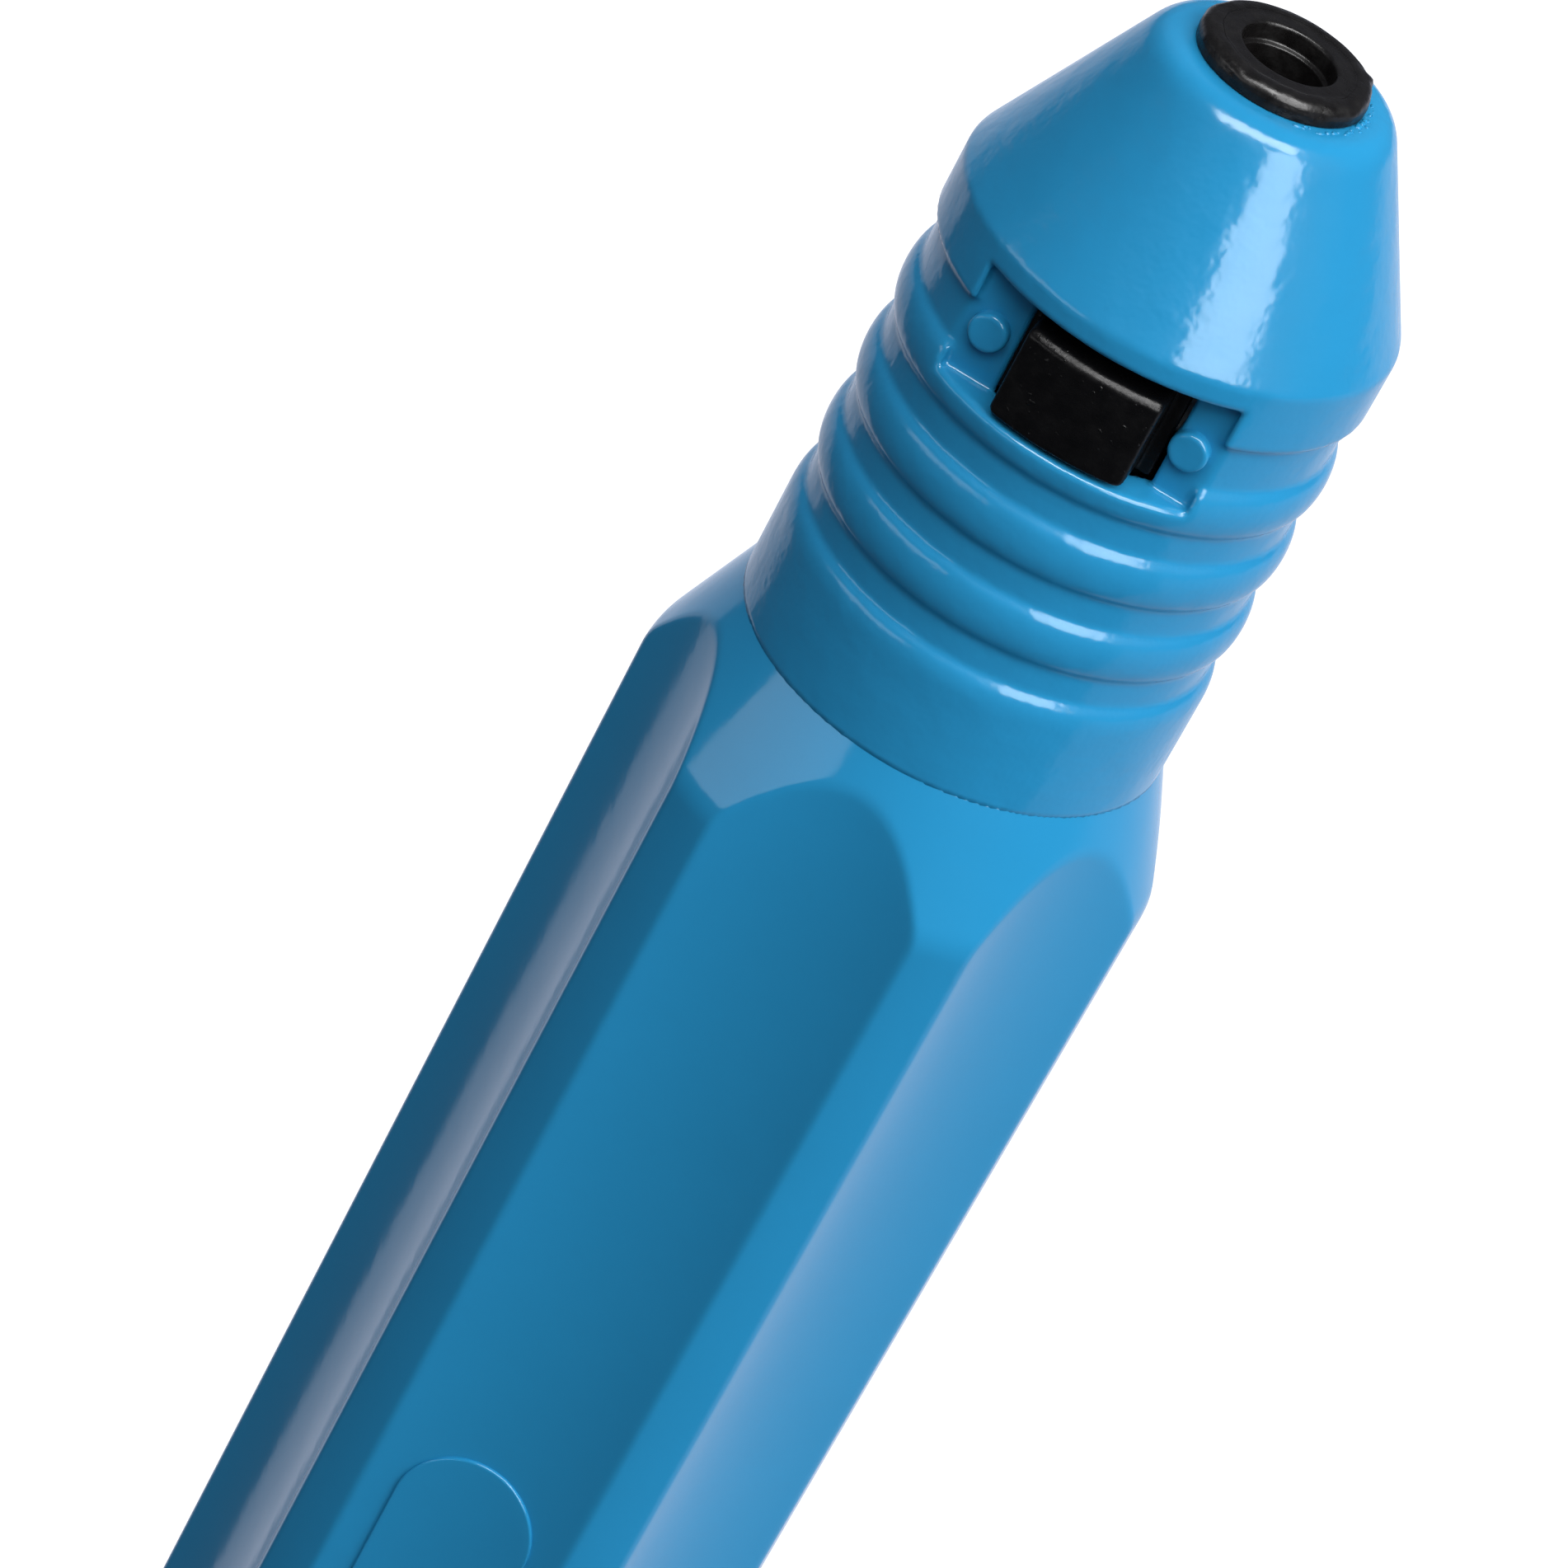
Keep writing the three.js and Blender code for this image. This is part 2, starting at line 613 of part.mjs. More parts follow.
function motorEndBell() {
  const outer = MOTOR_RADIUS - CAN_WALL - GAP;
  return ring(BUSH_RADIUS + GAP, outer, MOTOR_LOW_Z, MOTOR_LOW_Z + END_BELL_HEIGHT, MEDIUM);
}

function motorMagnet() {
  const outer = MOTOR_RADIUS - CAN_WALL - GAP;
  const inner = ROTOR_RADIUS + 0.4;
  const steps = 10;
  const arc = (radius, turn) => Array.from({ length: steps + 1 }, (_, i) => {
    const angle = THREE.MathUtils.lerp(-turn, turn, i / steps);
    return new THREE.Vector2(radius * Math.cos(angle), radius * Math.sin(angle));
  });
  const outline = [...arc(outer, MAGNET_HALF_ANGLE), ...arc(inner, -MAGNET_HALF_ANGLE)];
  return plate(outline, [], 0, MAGNET_LENGTH);
}

function rotorCore() {
  const slot = rod(ROTOR_SLOT_RADIUS, ROTOR_LOW_Z - 1, ROTOR_TOP_Z + 1);
  const slots = around(3, ROTOR_RADIUS, 30).map(([x, y]) => slot.clone().translate(x, y, 0));
  return cut(ring(SHAFT_RADIUS + GAP, ROTOR_RADIUS, ROTOR_LOW_Z, ROTOR_TOP_Z, MEDIUM), ...slots);
}

function motorBush(low, height) {
  return ring(BUSH_BORE_RADIUS, BUSH_RADIUS, low, low + height, MEDIUM);
}

const motorBay = circle(MOTOR_RADIUS + GAP, FINE);
add('motor_cradle', plate(BORE_OUTLINE, [motorBay], CRADLE_LOW_Z, CRADLE_TOP_Z), GREY);
add('motor_can', motorCan(), STEEL);
add('motor_end_bell', motorEndBell(), WHITE);
add('motor_bush_upper', motorBush(MOTOR_TOP_Z - 1.6, 2.2), BRASS);
add('motor_bush_lower', motorBush(MOTOR_LOW_Z + 0.4, 3), BRASS);
const magnetBase = groupAt(0, 0, MAGNET_LOW_Z);
add('motor_magnet_right', motorMagnet(), DARK_STEEL, magnetBase);
add('motor_magnet_left', motorMagnet(), DARK_STEEL, magnetBase).rotation.z = Math.PI;

add('motor_shaft', rod(SHAFT_RADIUS, SHAFT_LOW_Z, SHAFT_TOP_Z, MEDIUM), STEEL);
add('rotor_core', rotorCore(), COPPER);
const commutator = ring(SHAFT_RADIUS + GAP, COMMUTATOR_RADIUS, COMMUTATOR_LOW_Z, COMMUTATOR_TOP_Z, MEDIUM);
add('commutator', commutator, BRASS);

// -- pump --

const SCREW_PLACES = around(3, SCREW_CIRCLE, -90);
const CUP_PLACES = around(3, CUP_CIRCLE, 90);

// Turns a piece built round the Z axis, with its origin where the axes cross, onto the tilted pin's axis.
function onTiltedAxis(geometry) {
  return geometry.rotateX(WOBBLE_TILT).translate(0, 0, WOBBLE_Z);
}

function eccentricWheel() {
  const wheel = rod(WHEEL_RADIUS, WHEEL_LOW_Z, WHEEL_TOP_Z, MEDIUM);
  const bore = rod(SHAFT_RADIUS + GAP, WHEEL_LOW_Z - 1, SHAFT_TOP_Z + GAP, MEDIUM);
  const pinHole = onTiltedAxis(rod(TILT_PIN_RADIUS + GAP, TILT_PIN_LOW - GAP, -4));
  return cut(wheel, bore, pinHole);
}

function swingPlate() {
  const half = SWING_ARM_HALF_HEIGHT;
  const arm = block(0, SWING_ARM_LENGTH, -SWING_ARM_HALF_WIDTH, SWING_ARM_HALF_WIDTH, -half, half);
  const arms = around(3, 1, 90).map(([x, y]) => arm.clone().rotateZ(Math.atan2(y, x)));
  const hub = rod(2.4, -3.2, 1.2, MEDIUM);
  const pad = rod(1.7, -half, half + GAP);
  const pads = around(3, SWING_PAD_CIRCLE, 90).map(([x, y]) => pad.clone().translate(x, y, 0));
  const bore = rod(TILT_PIN_RADIUS + GAP, -4, 0.2);
  return onTiltedAxis(cut(join(hub, ...arms, ...pads), bore));
}

function screwHoles() {
  return SCREW_PLACES.map(([x, y]) => circle(SCREW_HOLE_RADIUS, HOLE, x, y));
}

function pumpHousing() {
  const room = circle(PUMP_INNER_RADIUS, FINE);
  const shaftHole = circle(2.2, MEDIUM);
  const wall = plate(BORE_OUTLINE, [room, ...screwHoles()], PUMP_FLOOR_TOP_Z, PUMP_WALL_TOP_Z);
  const floor = plate(BORE_OUTLINE, [shaftHole], PUMP_LOW_Z, PUMP_FLOOR_TOP_Z);
  return join(wall, floor);
}

function diaphragm() {
  const low = PUMP_WALL_TOP_Z + GAP;
  const high = low + DIAPHRAGM_THICKNESS;
  const sheet = plate(BORE_OUTLINE, screwHoles(), low, high);
  const cup = rod(CUP_RADIUS, low - 2 * CUP_WALL, high - 0.5, 18);
  const hollow = rod(CUP_RADIUS - CUP_WALL, low - CUP_WALL, high + 1, 18);
  const cups = CUP_PLACES.map(([x, y]) => cup.clone().translate(x, y, 0));
  const hollows = CUP_PLACES.map(([x, y]) => hollow.clone().translate(x, y, 0));
  return cut(join(sheet, ...cups), ...hollows);
}

function valvePlate() {
  const low = PUMP_WALL_TOP_Z + DIAPHRAGM_THICKNESS + 2 * GAP;
  const ports = CUP_PLACES.flatMap(([x, y]) => [-1.2, 1.2].map((aside) => circle(0.6, HOLE, x + aside, y)));
  return plate(BORE_OUTLINE, [...screwHoles(), ...ports], low, VALVE_PLATE_TOP_Z);
}

function pumpCover() {
  const low = VALVE_PLATE_TOP_Z + GAP;
  const tip = PUMP_COVER_TOP_Z + NOZZLE_HEIGHT;
  const room = circle(PUMP_INNER_RADIUS, FINE);
  const wall = plate(BORE_OUTLINE, [room, ...screwHoles()], low, PUMP_COVER_ROOF_Z);
  const top = plate(BORE_OUTLINE, screwHoles(), PUMP_COVER_ROOF_Z, PUMP_COVER_TOP_Z);
  const nozzle = rod(NOZZLE_RADIUS, PUMP_COVER_TOP_Z - 1, tip);
  const way = rod(NOZZLE_WAY_RADIUS, PUMP_COVER_ROOF_Z - 1, tip + 1, HOLE);
  const nozzles = [-NOZZLE_X, NOZZLE_X].map((x) => nozzle.clone().translate(x, NOZZLE_Y, 0));
  const ways = [-NOZZLE_X, NOZZLE_X].map((x) => way.clone().translate(x, NOZZLE_Y, 0));
  return cut(join(wall, top, ...nozzles), ...ways);
}

// The underside of the head is at z = 0. The head has a round driver recess.
function pumpScrew() {
  const length = 20;
  const shank = 0.6;
  const head = 1.2;
  const recess = 0.5;
  return revolve([
    [0, -length],
    [shank, -length],
    [shank, 0],
    [head, 0],
    [head, 1],
    [recess, 1],
    [recess, recess],
    [0, recess],
  ], COARSE);
}

add('eccentric_wheel', eccentricWheel(), BRASS);
add('tilt_pin', onTiltedAxis(rod(TILT_PIN_RADIUS, TILT_PIN_LOW, -0.1)), STEEL);
add('swing_plate', swingPlate(), WHITE);
add('pump_housing', pumpHousing(), GREY);
add('diaphragm', diaphragm(), RUBBER);
add('valve_plate', valvePlate(), WHITE);
const flapLow = VALVE_PLATE_TOP_Z + GAP;
add('valve_flap', rod(FLAP_RADIUS, flapLow, flapLow + FLAP_THICKNESS, MEDIUM), RUBBER);
add('pump_cover', pumpCover(), GREY);
SCREW_PLACES.forEach(([x, y], i) => {
  add(`pump_screw_${i + 1}`, pumpScrew(), STEEL, groupAt(x, y, PUMP_COVER_TOP_Z + GAP));
});

// -- control board and leads --

// A lead from the parts below the motor, up the channel at the back, to the foot of the board.
function lead(x, endX, low) {
  const route = [
    new THREE.Vector3(x, 8.5, low),
    new THREE.Vector3(x, LEAD_Y - 0.6, low + 0.6),
    new THREE.Vector3(x, LEAD_Y, low + 3),
    new THREE.Vector3(x, LEAD_Y, (MOTOR_LOW_Z + PUMP_COVER_TOP_Z) / 2),
    new THREE.Vector3(x, LEAD_Y, PUMP_COVER_TOP_Z),
    new THREE.Vector3(endX, LEAD_Y - 2, 133),
    new THREE.Vector3(endX, BOARD_BACK_Y + 1, 140),
  ];
  return alongCurve(new THREE.CatmullRomCurve3(route, false, 'centripetal'), 30, LEAD_RADIUS, 5);
}

const board = block(-BOARD_HALF_WIDTH, BOARD_HALF_WIDTH, BOARD_FRONT_Y, BOARD_BACK_Y, BOARD_LOW_Z, BOARD_TOP_Z);
add('control_board', board, BOARD);
const partsY = BOARD_FRONT_Y - GAP;
const chip = block(-CHIP_HALF_WIDTH, CHIP_HALF_WIDTH, partsY - CHIP_THICKNESS, partsY, CHIP_LOW_Z, CHIP_TOP_Z);
add('driver_chip', chip, BLACK);
const capacitor = rod(CAPACITOR_RADIUS, 0, CAPACITOR_LENGTH, MEDIUM).rotateX(Math.PI / 2);
add('board_capacitor', capacitor, DARK_STEEL, groupAt(0, partsY, CAPACITOR_Z));
const leadLow = contactTop + GAP + LEAD_RADIUS + 0.4;
add('battery_lead_red', lead(0.8, 0.55, leadLow), RED);
add('battery_lead_black', lead(-0.8, -0.55, leadLow), BLACK);
add('motor_lead_red', lead(2.3, 1.55, leadLow), RED);
add('motor_lead_black', lead(-2.3, -1.55, leadLow), BLACK);

// -- air tubes --

function airTube(side) {
  const route = new THREE.CatmullRomCurve3([
    new THREE.Vector3(side * NOZZLE_X, NOZZLE_Y, PUMP_COVER_TOP_Z + GAP),
    new THREE.Vector3(side * NOZZLE_X, NOZZLE_Y, PUMP_COVER_TOP_Z + 5),
    new THREE.Vector3(side * TUBE_TOP_X, TUBE_TOP_Y, 150),
    new THREE.Vector3(side * TUBE_TOP_X, TUBE_TOP_Y, VALVE_LOW_Z - 5),
    new THREE.Vector3(side * TUBE_TOP_X, TUBE_TOP_Y, VALVE_LOW_Z - GAP),
  ], false, 'centripetal');
  return alongCurve(route, 12, TUBE_OUTER_RADIUS, 10, TUBE_INNER_RADIUS);
}

add('suction_tube', airTube(-1), CLEAR_RUBBER);
add('pressure_tube', airTube(1), CLEAR_RUBBER);

// -- key, valve and switch --

// The face follows the neck's roundness. The flange behind it is wider than the key.
function keyCap() {
  const chamfer = 0.5;
  const outline = [
    new THREE.Vector2(-KEY_HALF_WIDTH, KEY_FLANGE_OUTER_Y + 0.2),
    new THREE.Vector2(KEY_HALF_WIDTH, KEY_FLANGE_OUTER_Y + 0.2),
  ];
  const half = Math.asin(KEY_HALF_WIDTH / NECK_RADIUS);
  const steps = 8;
  for (let i = 0; i <= steps; i += 1) {
    const angle = half - (2 * half * i) / steps;
    outline.push(new THREE.Vector2(NECK_RADIUS * Math.sin(angle), -NECK_RADIUS * Math.cos(angle)));
  }
  const face = plate(outline, [], KEY_LOW_Z, KEY_TOP_Z);
  const reach = KEY_HALF_WIDTH + 1;
  const edge = block(-reach, reach, -chamfer, chamfer, -chamfer, chamfer).rotateX(Math.PI / 4);
  const topEdge = edge.translate(0, -NECK_RADIUS + 0.1, KEY_TOP_Z + 0.2);
  const flange = block(-KEY_FLANGE_HALF_WIDTH, KEY_FLANGE_HALF_WIDTH,
    KEY_FLANGE_OUTER_Y, KEY_FLANGE_INNER_Y, KEY_LOW_Z, KEY_FLANGE_TOP_Z);
  return join(cut(face, topEdge), flange);
}

// Lathed along Z, then laid so that it runs from the key towards +Y.
function alongY(geometry, z) {
  return geometry.rotateX(-Math.PI / 2).translate(0, 0, z);
}

function valveSpool() {
  const stem = 1;
  const land = SPOOL_BORE_RADIUS - 0.15;
  return alongY(revolve([
    [0, KEY_FLANGE_INNER_Y + GAP],
    [stem, KEY_FLANGE_INNER_Y + GAP],
    [stem, -6],
    [land, -6],
    [land, -4.4],
    [stem, -4.4],
    [stem, -0.8],
    [land, -0.8],
    [land, 0.8],
    [stem, 0.8],
    [stem, 3.6],
    [land, 3.6],
    [land, SPOOL_END_Y],
    [0, SPOOL_END_Y],
  ], 16), SPOOL_Z);
}

function valveBlock() {
  const body = plate(flattedDisc(VALVE_RADIUS, VALVE_FRONT_Y), [], VALVE_LOW_Z, VALVE_TOP_Z);
  const spoolBore = alongY(rod(SPOOL_BORE_RADIUS, VALVE_FRONT_Y - 1, VALVE_RADIUS + 1, 20), SPOOL_Z);
  const outlet = rod(0.8, SPOOL_Z, VALVE_TOP_Z + 1, 10);
  const nozzle = rod(NOZZLE_RADIUS, VALVE_LOW_Z - 3, VALVE_LOW_Z + 1);
  const nozzles = [-TUBE_TOP_X, TUBE_TOP_X].map((x) => nozzle.clone().translate(x, TUBE_TOP_Y, 0));
  return cut(join(body, ...nozzles), spoolBore, outlet);
}

function keyPin() {
  const head = -POCKET_FLOOR_Y + GAP;
  return revolve([
    [0, KEY_PIN_SHANK_END],
    [KEY_PIN_SHANK_RADIUS, KEY_PIN_SHANK_END],
    [KEY_PIN_SHANK_RADIUS, head],
    [KEY_PIN_HEAD_RADIUS, head],
    [KEY_PIN_HEAD_RADIUS, head + 0.25],
    [KEY_PIN_HEAD_RADIUS - 0.25, head + 0.5],
    [0, head + 0.5],
  ], MEDIUM).rotateX(Math.PI / 2);
}

add('key_cap', keyCap(), BLACK);
add('key_pin_left', keyPin(), BLUE, groupAt(-KEY_PIN_X, 0, KEY_PIN_Z));
add('key_pin_right', keyPin(), BLUE, groupAt(KEY_PIN_X, 0, KEY_PIN_Z));
add('valve_block', valveBlock(), WHITE);
add('valve_spool', valveSpool(), BRASS);
const spoolSpring = coilSpring(1.2, 1.2, SPOOL_SPRING_LENGTH, 5, 0.18).translate(0, 0, SPOOL_SPRING_Y);
add('spool_spring', alongY(spoolSpring, SPOOL_Z), STEEL);
const spoolPlug = rod(SPOOL_BORE_RADIUS - GAP, SPOOL_PLUG_Y, SPOOL_PLUG_Y + SPOOL_PLUG_LENGTH, 16);
add('spool_plug', alongY(spoolPlug, SPOOL_Z), BRASS);

function microSwitch() {
  const half = SWITCH_HALF_WIDTH;
  const body = block(-half, half, SWITCH_FRONT_Y, SWITCH_BACK_Y, SWITCH_LOW_Z, SWITCH_TOP_Z);
  return cut(body, alongY(rod(PLUNGER_BORE_RADIUS, SWITCH_FRONT_Y - 1, PLUNGER_BORE_END_Y), PLUNGER_Z));
}

add('micro_switch', microSwitch(), BLACK);
const plunger = rod(PLUNGER_RADIUS, KEY_FLANGE_INNER_Y + GAP, PLUNGER_END_Y);
add('switch_plunger', alongY(plunger, PLUNGER_Z), WHITE);

// -- filter and pipette socket --

function filterBase() {
  const floorTop = FILTER_LOW_Z + FILTER_FLOOR;
  return revolve([
    [SOCKET_AIR_RADIUS / 2, FILTER_LOW_Z],
    [FILTER_RADIUS, FILTER_LOW_Z],
    [FILTER_RADIUS, FILTER_WALL_TOP_Z],
    [FILTER_RADIUS - FILTER_WALL, FILTER_WALL_TOP_Z],
    [FILTER_RADIUS - FILTER_WALL, floorTop],
    [SOCKET_AIR_RADIUS / 2, floorTop],
  ], MEDIUM);
}

// A lid with a nose that goes up into the socket's tail.
function filterLid() {
  const lidTop = FILTER_LID_Z + FILTER_LID_THICKNESS;
  return revolve([
    [FILTER_AIR_RADIUS, FILTER_LID_Z],
    [FILTER_INNER_RADIUS, FILTER_LID_Z],
    [FILTER_INNER_RADIUS, lidTop],
    [FILTER_NOSE_RADIUS, lidTop],
    [FILTER_NOSE_RADIUS, FILTER_NOSE_TOP_Z],
    [FILTER_AIR_RADIUS, FILTER_NOSE_TOP_Z],
  ], MEDIUM);
}

function pipetteSocket() {
  const shoulder = LENGTH - RING_PROUD + GAP;
  const stop = LENGTH - SOCKET_MOUTH_DEPTH;
  return revolve([
    [SOCKET_AIR_RADIUS, SOCKET_LOW_Z],
    [SOCKET_TAIL_RADIUS, SOCKET_LOW_Z],
    [SOCKET_TAIL_RADIUS, shoulder],
    [SOCKET_RING_RADIUS, shoulder],
    [SOCKET_RING_RADIUS, LENGTH - SOCKET_EDGE],
    [SOCKET_RING_RADIUS - SOCKET_EDGE, LENGTH],
    [SOCKET_MOUTH_RADIUS, LENGTH],
    [SOCKET_MOUTH_RADIUS, stop],
    [SOCKET_AIR_RADIUS, stop],
  ], MEDIUM);
}

const discLow = FILTER_LOW_Z + FILTER_FLOOR + GAP;
add('filter_base', filterBase(), CLEAR_RUBBER);
add('filter_disc', rod(FILTER_INNER_RADIUS, discLow, discLow + FILTER_DISC_THICKNESS, MEDIUM), WHITE);
add('filter_lid', filterLid(), CLEAR_RUBBER);
add('pipette_socket', pipetteSocket(), RUBBER);

export default controller;
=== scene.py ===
import json
import math

import bmesh
import bpy
import numpy as np
from mathutils import Matrix, Vector


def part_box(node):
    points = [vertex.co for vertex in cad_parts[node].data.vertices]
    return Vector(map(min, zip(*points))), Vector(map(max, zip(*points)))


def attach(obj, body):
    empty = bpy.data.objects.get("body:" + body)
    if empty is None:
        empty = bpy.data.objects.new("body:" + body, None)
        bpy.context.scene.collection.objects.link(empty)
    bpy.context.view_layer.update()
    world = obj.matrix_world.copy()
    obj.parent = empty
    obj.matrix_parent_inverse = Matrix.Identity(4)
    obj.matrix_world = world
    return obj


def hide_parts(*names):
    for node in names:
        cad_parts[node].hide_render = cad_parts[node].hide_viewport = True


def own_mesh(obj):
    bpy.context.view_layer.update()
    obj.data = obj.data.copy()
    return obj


# The looks of a straight pipette controller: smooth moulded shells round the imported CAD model.
# Shapes are worked out in millimetres in the model's own frame, and become metres in the meshes.

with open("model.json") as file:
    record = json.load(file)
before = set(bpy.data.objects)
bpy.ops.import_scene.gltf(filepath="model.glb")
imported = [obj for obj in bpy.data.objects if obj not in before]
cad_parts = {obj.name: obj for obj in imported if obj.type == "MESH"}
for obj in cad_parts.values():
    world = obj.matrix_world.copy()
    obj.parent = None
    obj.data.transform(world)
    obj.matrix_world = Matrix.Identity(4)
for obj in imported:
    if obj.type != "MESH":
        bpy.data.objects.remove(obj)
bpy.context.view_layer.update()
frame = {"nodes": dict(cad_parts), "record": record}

MM = 0.001
TAU = 2 * math.pi


def box_mm(node):
    """A CAD node's lowest and highest corners, in millimetres."""
    low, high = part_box(node)
    return np.array(low) / MM, np.array(high) / MM


SOCKET_LOW, SOCKET_HIGH = box_mm("pipette_socket")
GRIP_LOW, GRIP_HIGH = box_mm("grip_sleeve")
NOSE_LOW, NOSE_HIGH = box_mm("nose_housing")
CAP_HIGH = box_mm("end_cap")[1]
KEY_LOW, KEY_HIGH = box_mm("key_cap")
PIN_LOW, PIN_HIGH = box_mm("key_pin_right")

TIP_Z = SOCKET_HIGH[2]
GRIP_RADIUS = GRIP_HIGH[0]
NECK_RADIUS = NOSE_HIGH[0]
CONE_TOP_Z = NOSE_HIGH[2]
CAD_GAP = 0.3  # the CAD leaves this much open between the grip and the nose
NECK_LINE_Z = GRIP_HIGH[2] + CAD_GAP


# ---- meshes ----

SAME_POINT = 0.001  # points nearer than this are one point
CURVE_STEPS = 5  # points along each rounded corner of a profile
EDGE_HOLD = 0.08  # how far from its ends a straight run gets the points that keep it flat
RELAX_ROUNDS = 3


def add_object(name, data):
    thing = bpy.data.objects.new(name, data)
    bpy.context.scene.collection.objects.link(thing)
    return thing


def make_piece(name, vertices, faces, material):
    """A smooth mesh object from vertices in millimetres."""
    mesh = bpy.data.meshes.new(name)
    mesh.from_pydata((np.asarray(vertices, float) * MM).tolist(), [], [list(map(int, f)) for f in faces])
    mesh.validate()
    mesh.materials.append(material)
    mesh.shade_smooth()
    return add_object(name, mesh)


def join_doubles(piece):
    """Points that lie on one another made into one."""
    shape = bmesh.new()
    shape.from_mesh(piece.data)
    bmesh.ops.remove_doubles(shape, verts=shape.verts, dist=SAME_POINT * MM)
    shape.to_mesh(piece.data)
    shape.free()


def grid_faces(rows, columns, close_rows):
    """Quads of a grid that wraps round in its columns, and in its rows too when close_rows is true."""
    last = rows if close_rows else rows - 1
    r, c = np.meshgrid(np.arange(last), np.arange(columns), indexing="ij")
    r2 = (r + 1) % rows
    c2 = (c + 1) % columns
    corners = [r * columns + c, r * columns + c2, r2 * columns + c2, r2 * columns + c]
    return np.stack(corners, -1).reshape(-1, 4)


def lathe_points(profile, angles):
    """Vertices of a profile of (radius, height) rows turned through the angles."""
    profile = np.asarray(profile, float)
    radius = profile[:, :1]
    height = np.repeat(profile[:, 1:], len(angles), 1)
    return np.stack([radius * np.cos(angles), radius * np.sin(angles), height], -1)


def rounded_profile(corners):
    """A closed profile from (radius, height, rounding) corners, each rounded by an arc-like curve."""
    points = []
    count = len(corners)
    for i, (r, z, rounding) in enumerate(corners):
        here = np.array([r, z])
        if rounding == 0:
            points.append(here)
            continue
        before = np.array(corners[i - 1][:2]) - here
        after = np.array(corners[(i + 1) % count][:2]) - here
        start = here + before / np.linalg.norm(before) * rounding
        end = here + after / np.linalg.norm(after) * rounding
        for t in np.linspace(0, 1, CURVE_STEPS):
            points.append((1 - t) ** 2 * start + 2 * t * (1 - t) * here + t * t * end)
    return np.array(points)


def held_edges(profile):
    """A closed profile with a point added near each end of every long straight run, to keep flats flat."""
    points = []
    for here, after in zip(profile, np.roll(profile, -1, 0)):
        run = after - here
        length = np.linalg.norm(run)
        points.append(here)
        if length > 4 * EDGE_HOLD:
            points += [here + run * EDGE_HOLD / length, after - run * EDGE_HOLD / length]
    return np.array(points)


def turned_piece(name, corners, material, segments, shape=None):
    """A closed lathed piece. The profile runs anticlockwise with the radius to the right.
    shape, where given, moves the grid of points, which has a row for each point of the profile."""
    angles = np.arange(segments) / segments * TAU
    grid = lathe_points(held_edges(rounded_profile(corners)), angles)
    if shape is not None:
        grid = shape(grid)
    piece = make_piece(name, grid.reshape(-1, 3), grid_faces(len(grid), segments, True), material)
    join_doubles(piece)
    return piece


def smooth_min(a, b, k):
    """The lesser of a and b, with the crease between them rounded over the width k."""
    h = np.maximum(k - np.abs(a - b), 0) / k
    return np.minimum(a, b) - h * h * k / 4


def smooth_max(a, b, k):
    return -smooth_min(-a, -b, k)


def smooth_step(low, high, x):
    t = np.clip((x - low) / (high - low), 0, 1)
    return t * t * (3 - 2 * t)


def surface_of(field, xs, ys, zs):
    """Vertices and quads of the surface where field, sampled on a grid, is 0. It is below 0 inside."""
    grid = np.meshgrid(xs, ys, zs, indexing="ij")
    values = field(*grid).astype(np.float32)
    inside = values < 0
    shape = np.array(values.shape) - 1
    corners = [(i, j, k) for i in (0, 1) for j in (0, 1) for k in (0, 1)]

    def at(array, corner):
        i, j, k = corner
        return array[i:i + shape[0], j:j + shape[1], k:k + shape[2]]

    count = sum(at(inside, c).astype(np.int8) for c in corners)
    active = (count > 0) & (count < 8)
    index = -np.ones(shape, np.int64)
    index[active] = np.arange(active.sum())
    total = np.zeros((active.sum(), 3))
    hits = np.zeros(active.sum())
    for a in corners:
        for axis in range(3):
            if a[axis] == 1:
                continue
            b = tuple(1 if n == axis else a[n] for n in range(3))
            fa = at(values, a)[active]
            fb = at(values, b)[active]
            crossing = (fa < 0) != (fb < 0)
            t = np.where(crossing, fa / np.where(crossing, fa - fb, 1), 0)
            pa = np.stack([at(g, a)[active] for g in grid], -1)
            pb = np.stack([at(g, b)[active] for g in grid], -1)
            point = pa + (pb - pa) * t[:, None]
            total += point * crossing[:, None]
            hits += crossing
    points = total / hits[:, None]
    faces = np.concatenate([axis_faces(inside, index, axis) for axis in range(3)])
    for _ in range(RELAX_ROUNDS):
        points = project(field, relaxed(points, faces), 2)
    return project(field, points, 5), faces


def axis_faces(inside, index, axis):
    """The quads across every grid edge along one axis whose ends lie on different sides."""
    order = [axis, (axis + 1) % 3, (axis + 2) % 3]
    solid = np.transpose(inside, order)
    cells = np.transpose(index, order)
    low = solid[:-1, 1:-1, 1:-1]
    change = low != solid[1:, 1:-1, 1:-1]
    i, j, k = np.nonzero(change)
    quads = np.stack([cells[i, j, k], cells[i, j + 1, k], cells[i, j + 1, k + 1], cells[i, j, k + 1]], -1)
    backwards = ~low[change]
    quads[backwards] = quads[backwards][:, ::-1]
    return quads


def relaxed(points, faces):
    """Each point moved halfway to the middle of its neighbours."""
    total = np.zeros_like(points)
    hits = np.zeros(len(points))
    for a, b in ((0, 1), (1, 2), (2, 3), (3, 0)):
        for p, q in ((faces[:, a], faces[:, b]), (faces[:, b], faces[:, a])):
            for n in range(3):
                total[:, n] += np.bincount(p, points[q, n], len(points))
            hits += np.bincount(p, minlength=len(points))
    return 0.5 * points + 0.5 * total / hits[:, None]


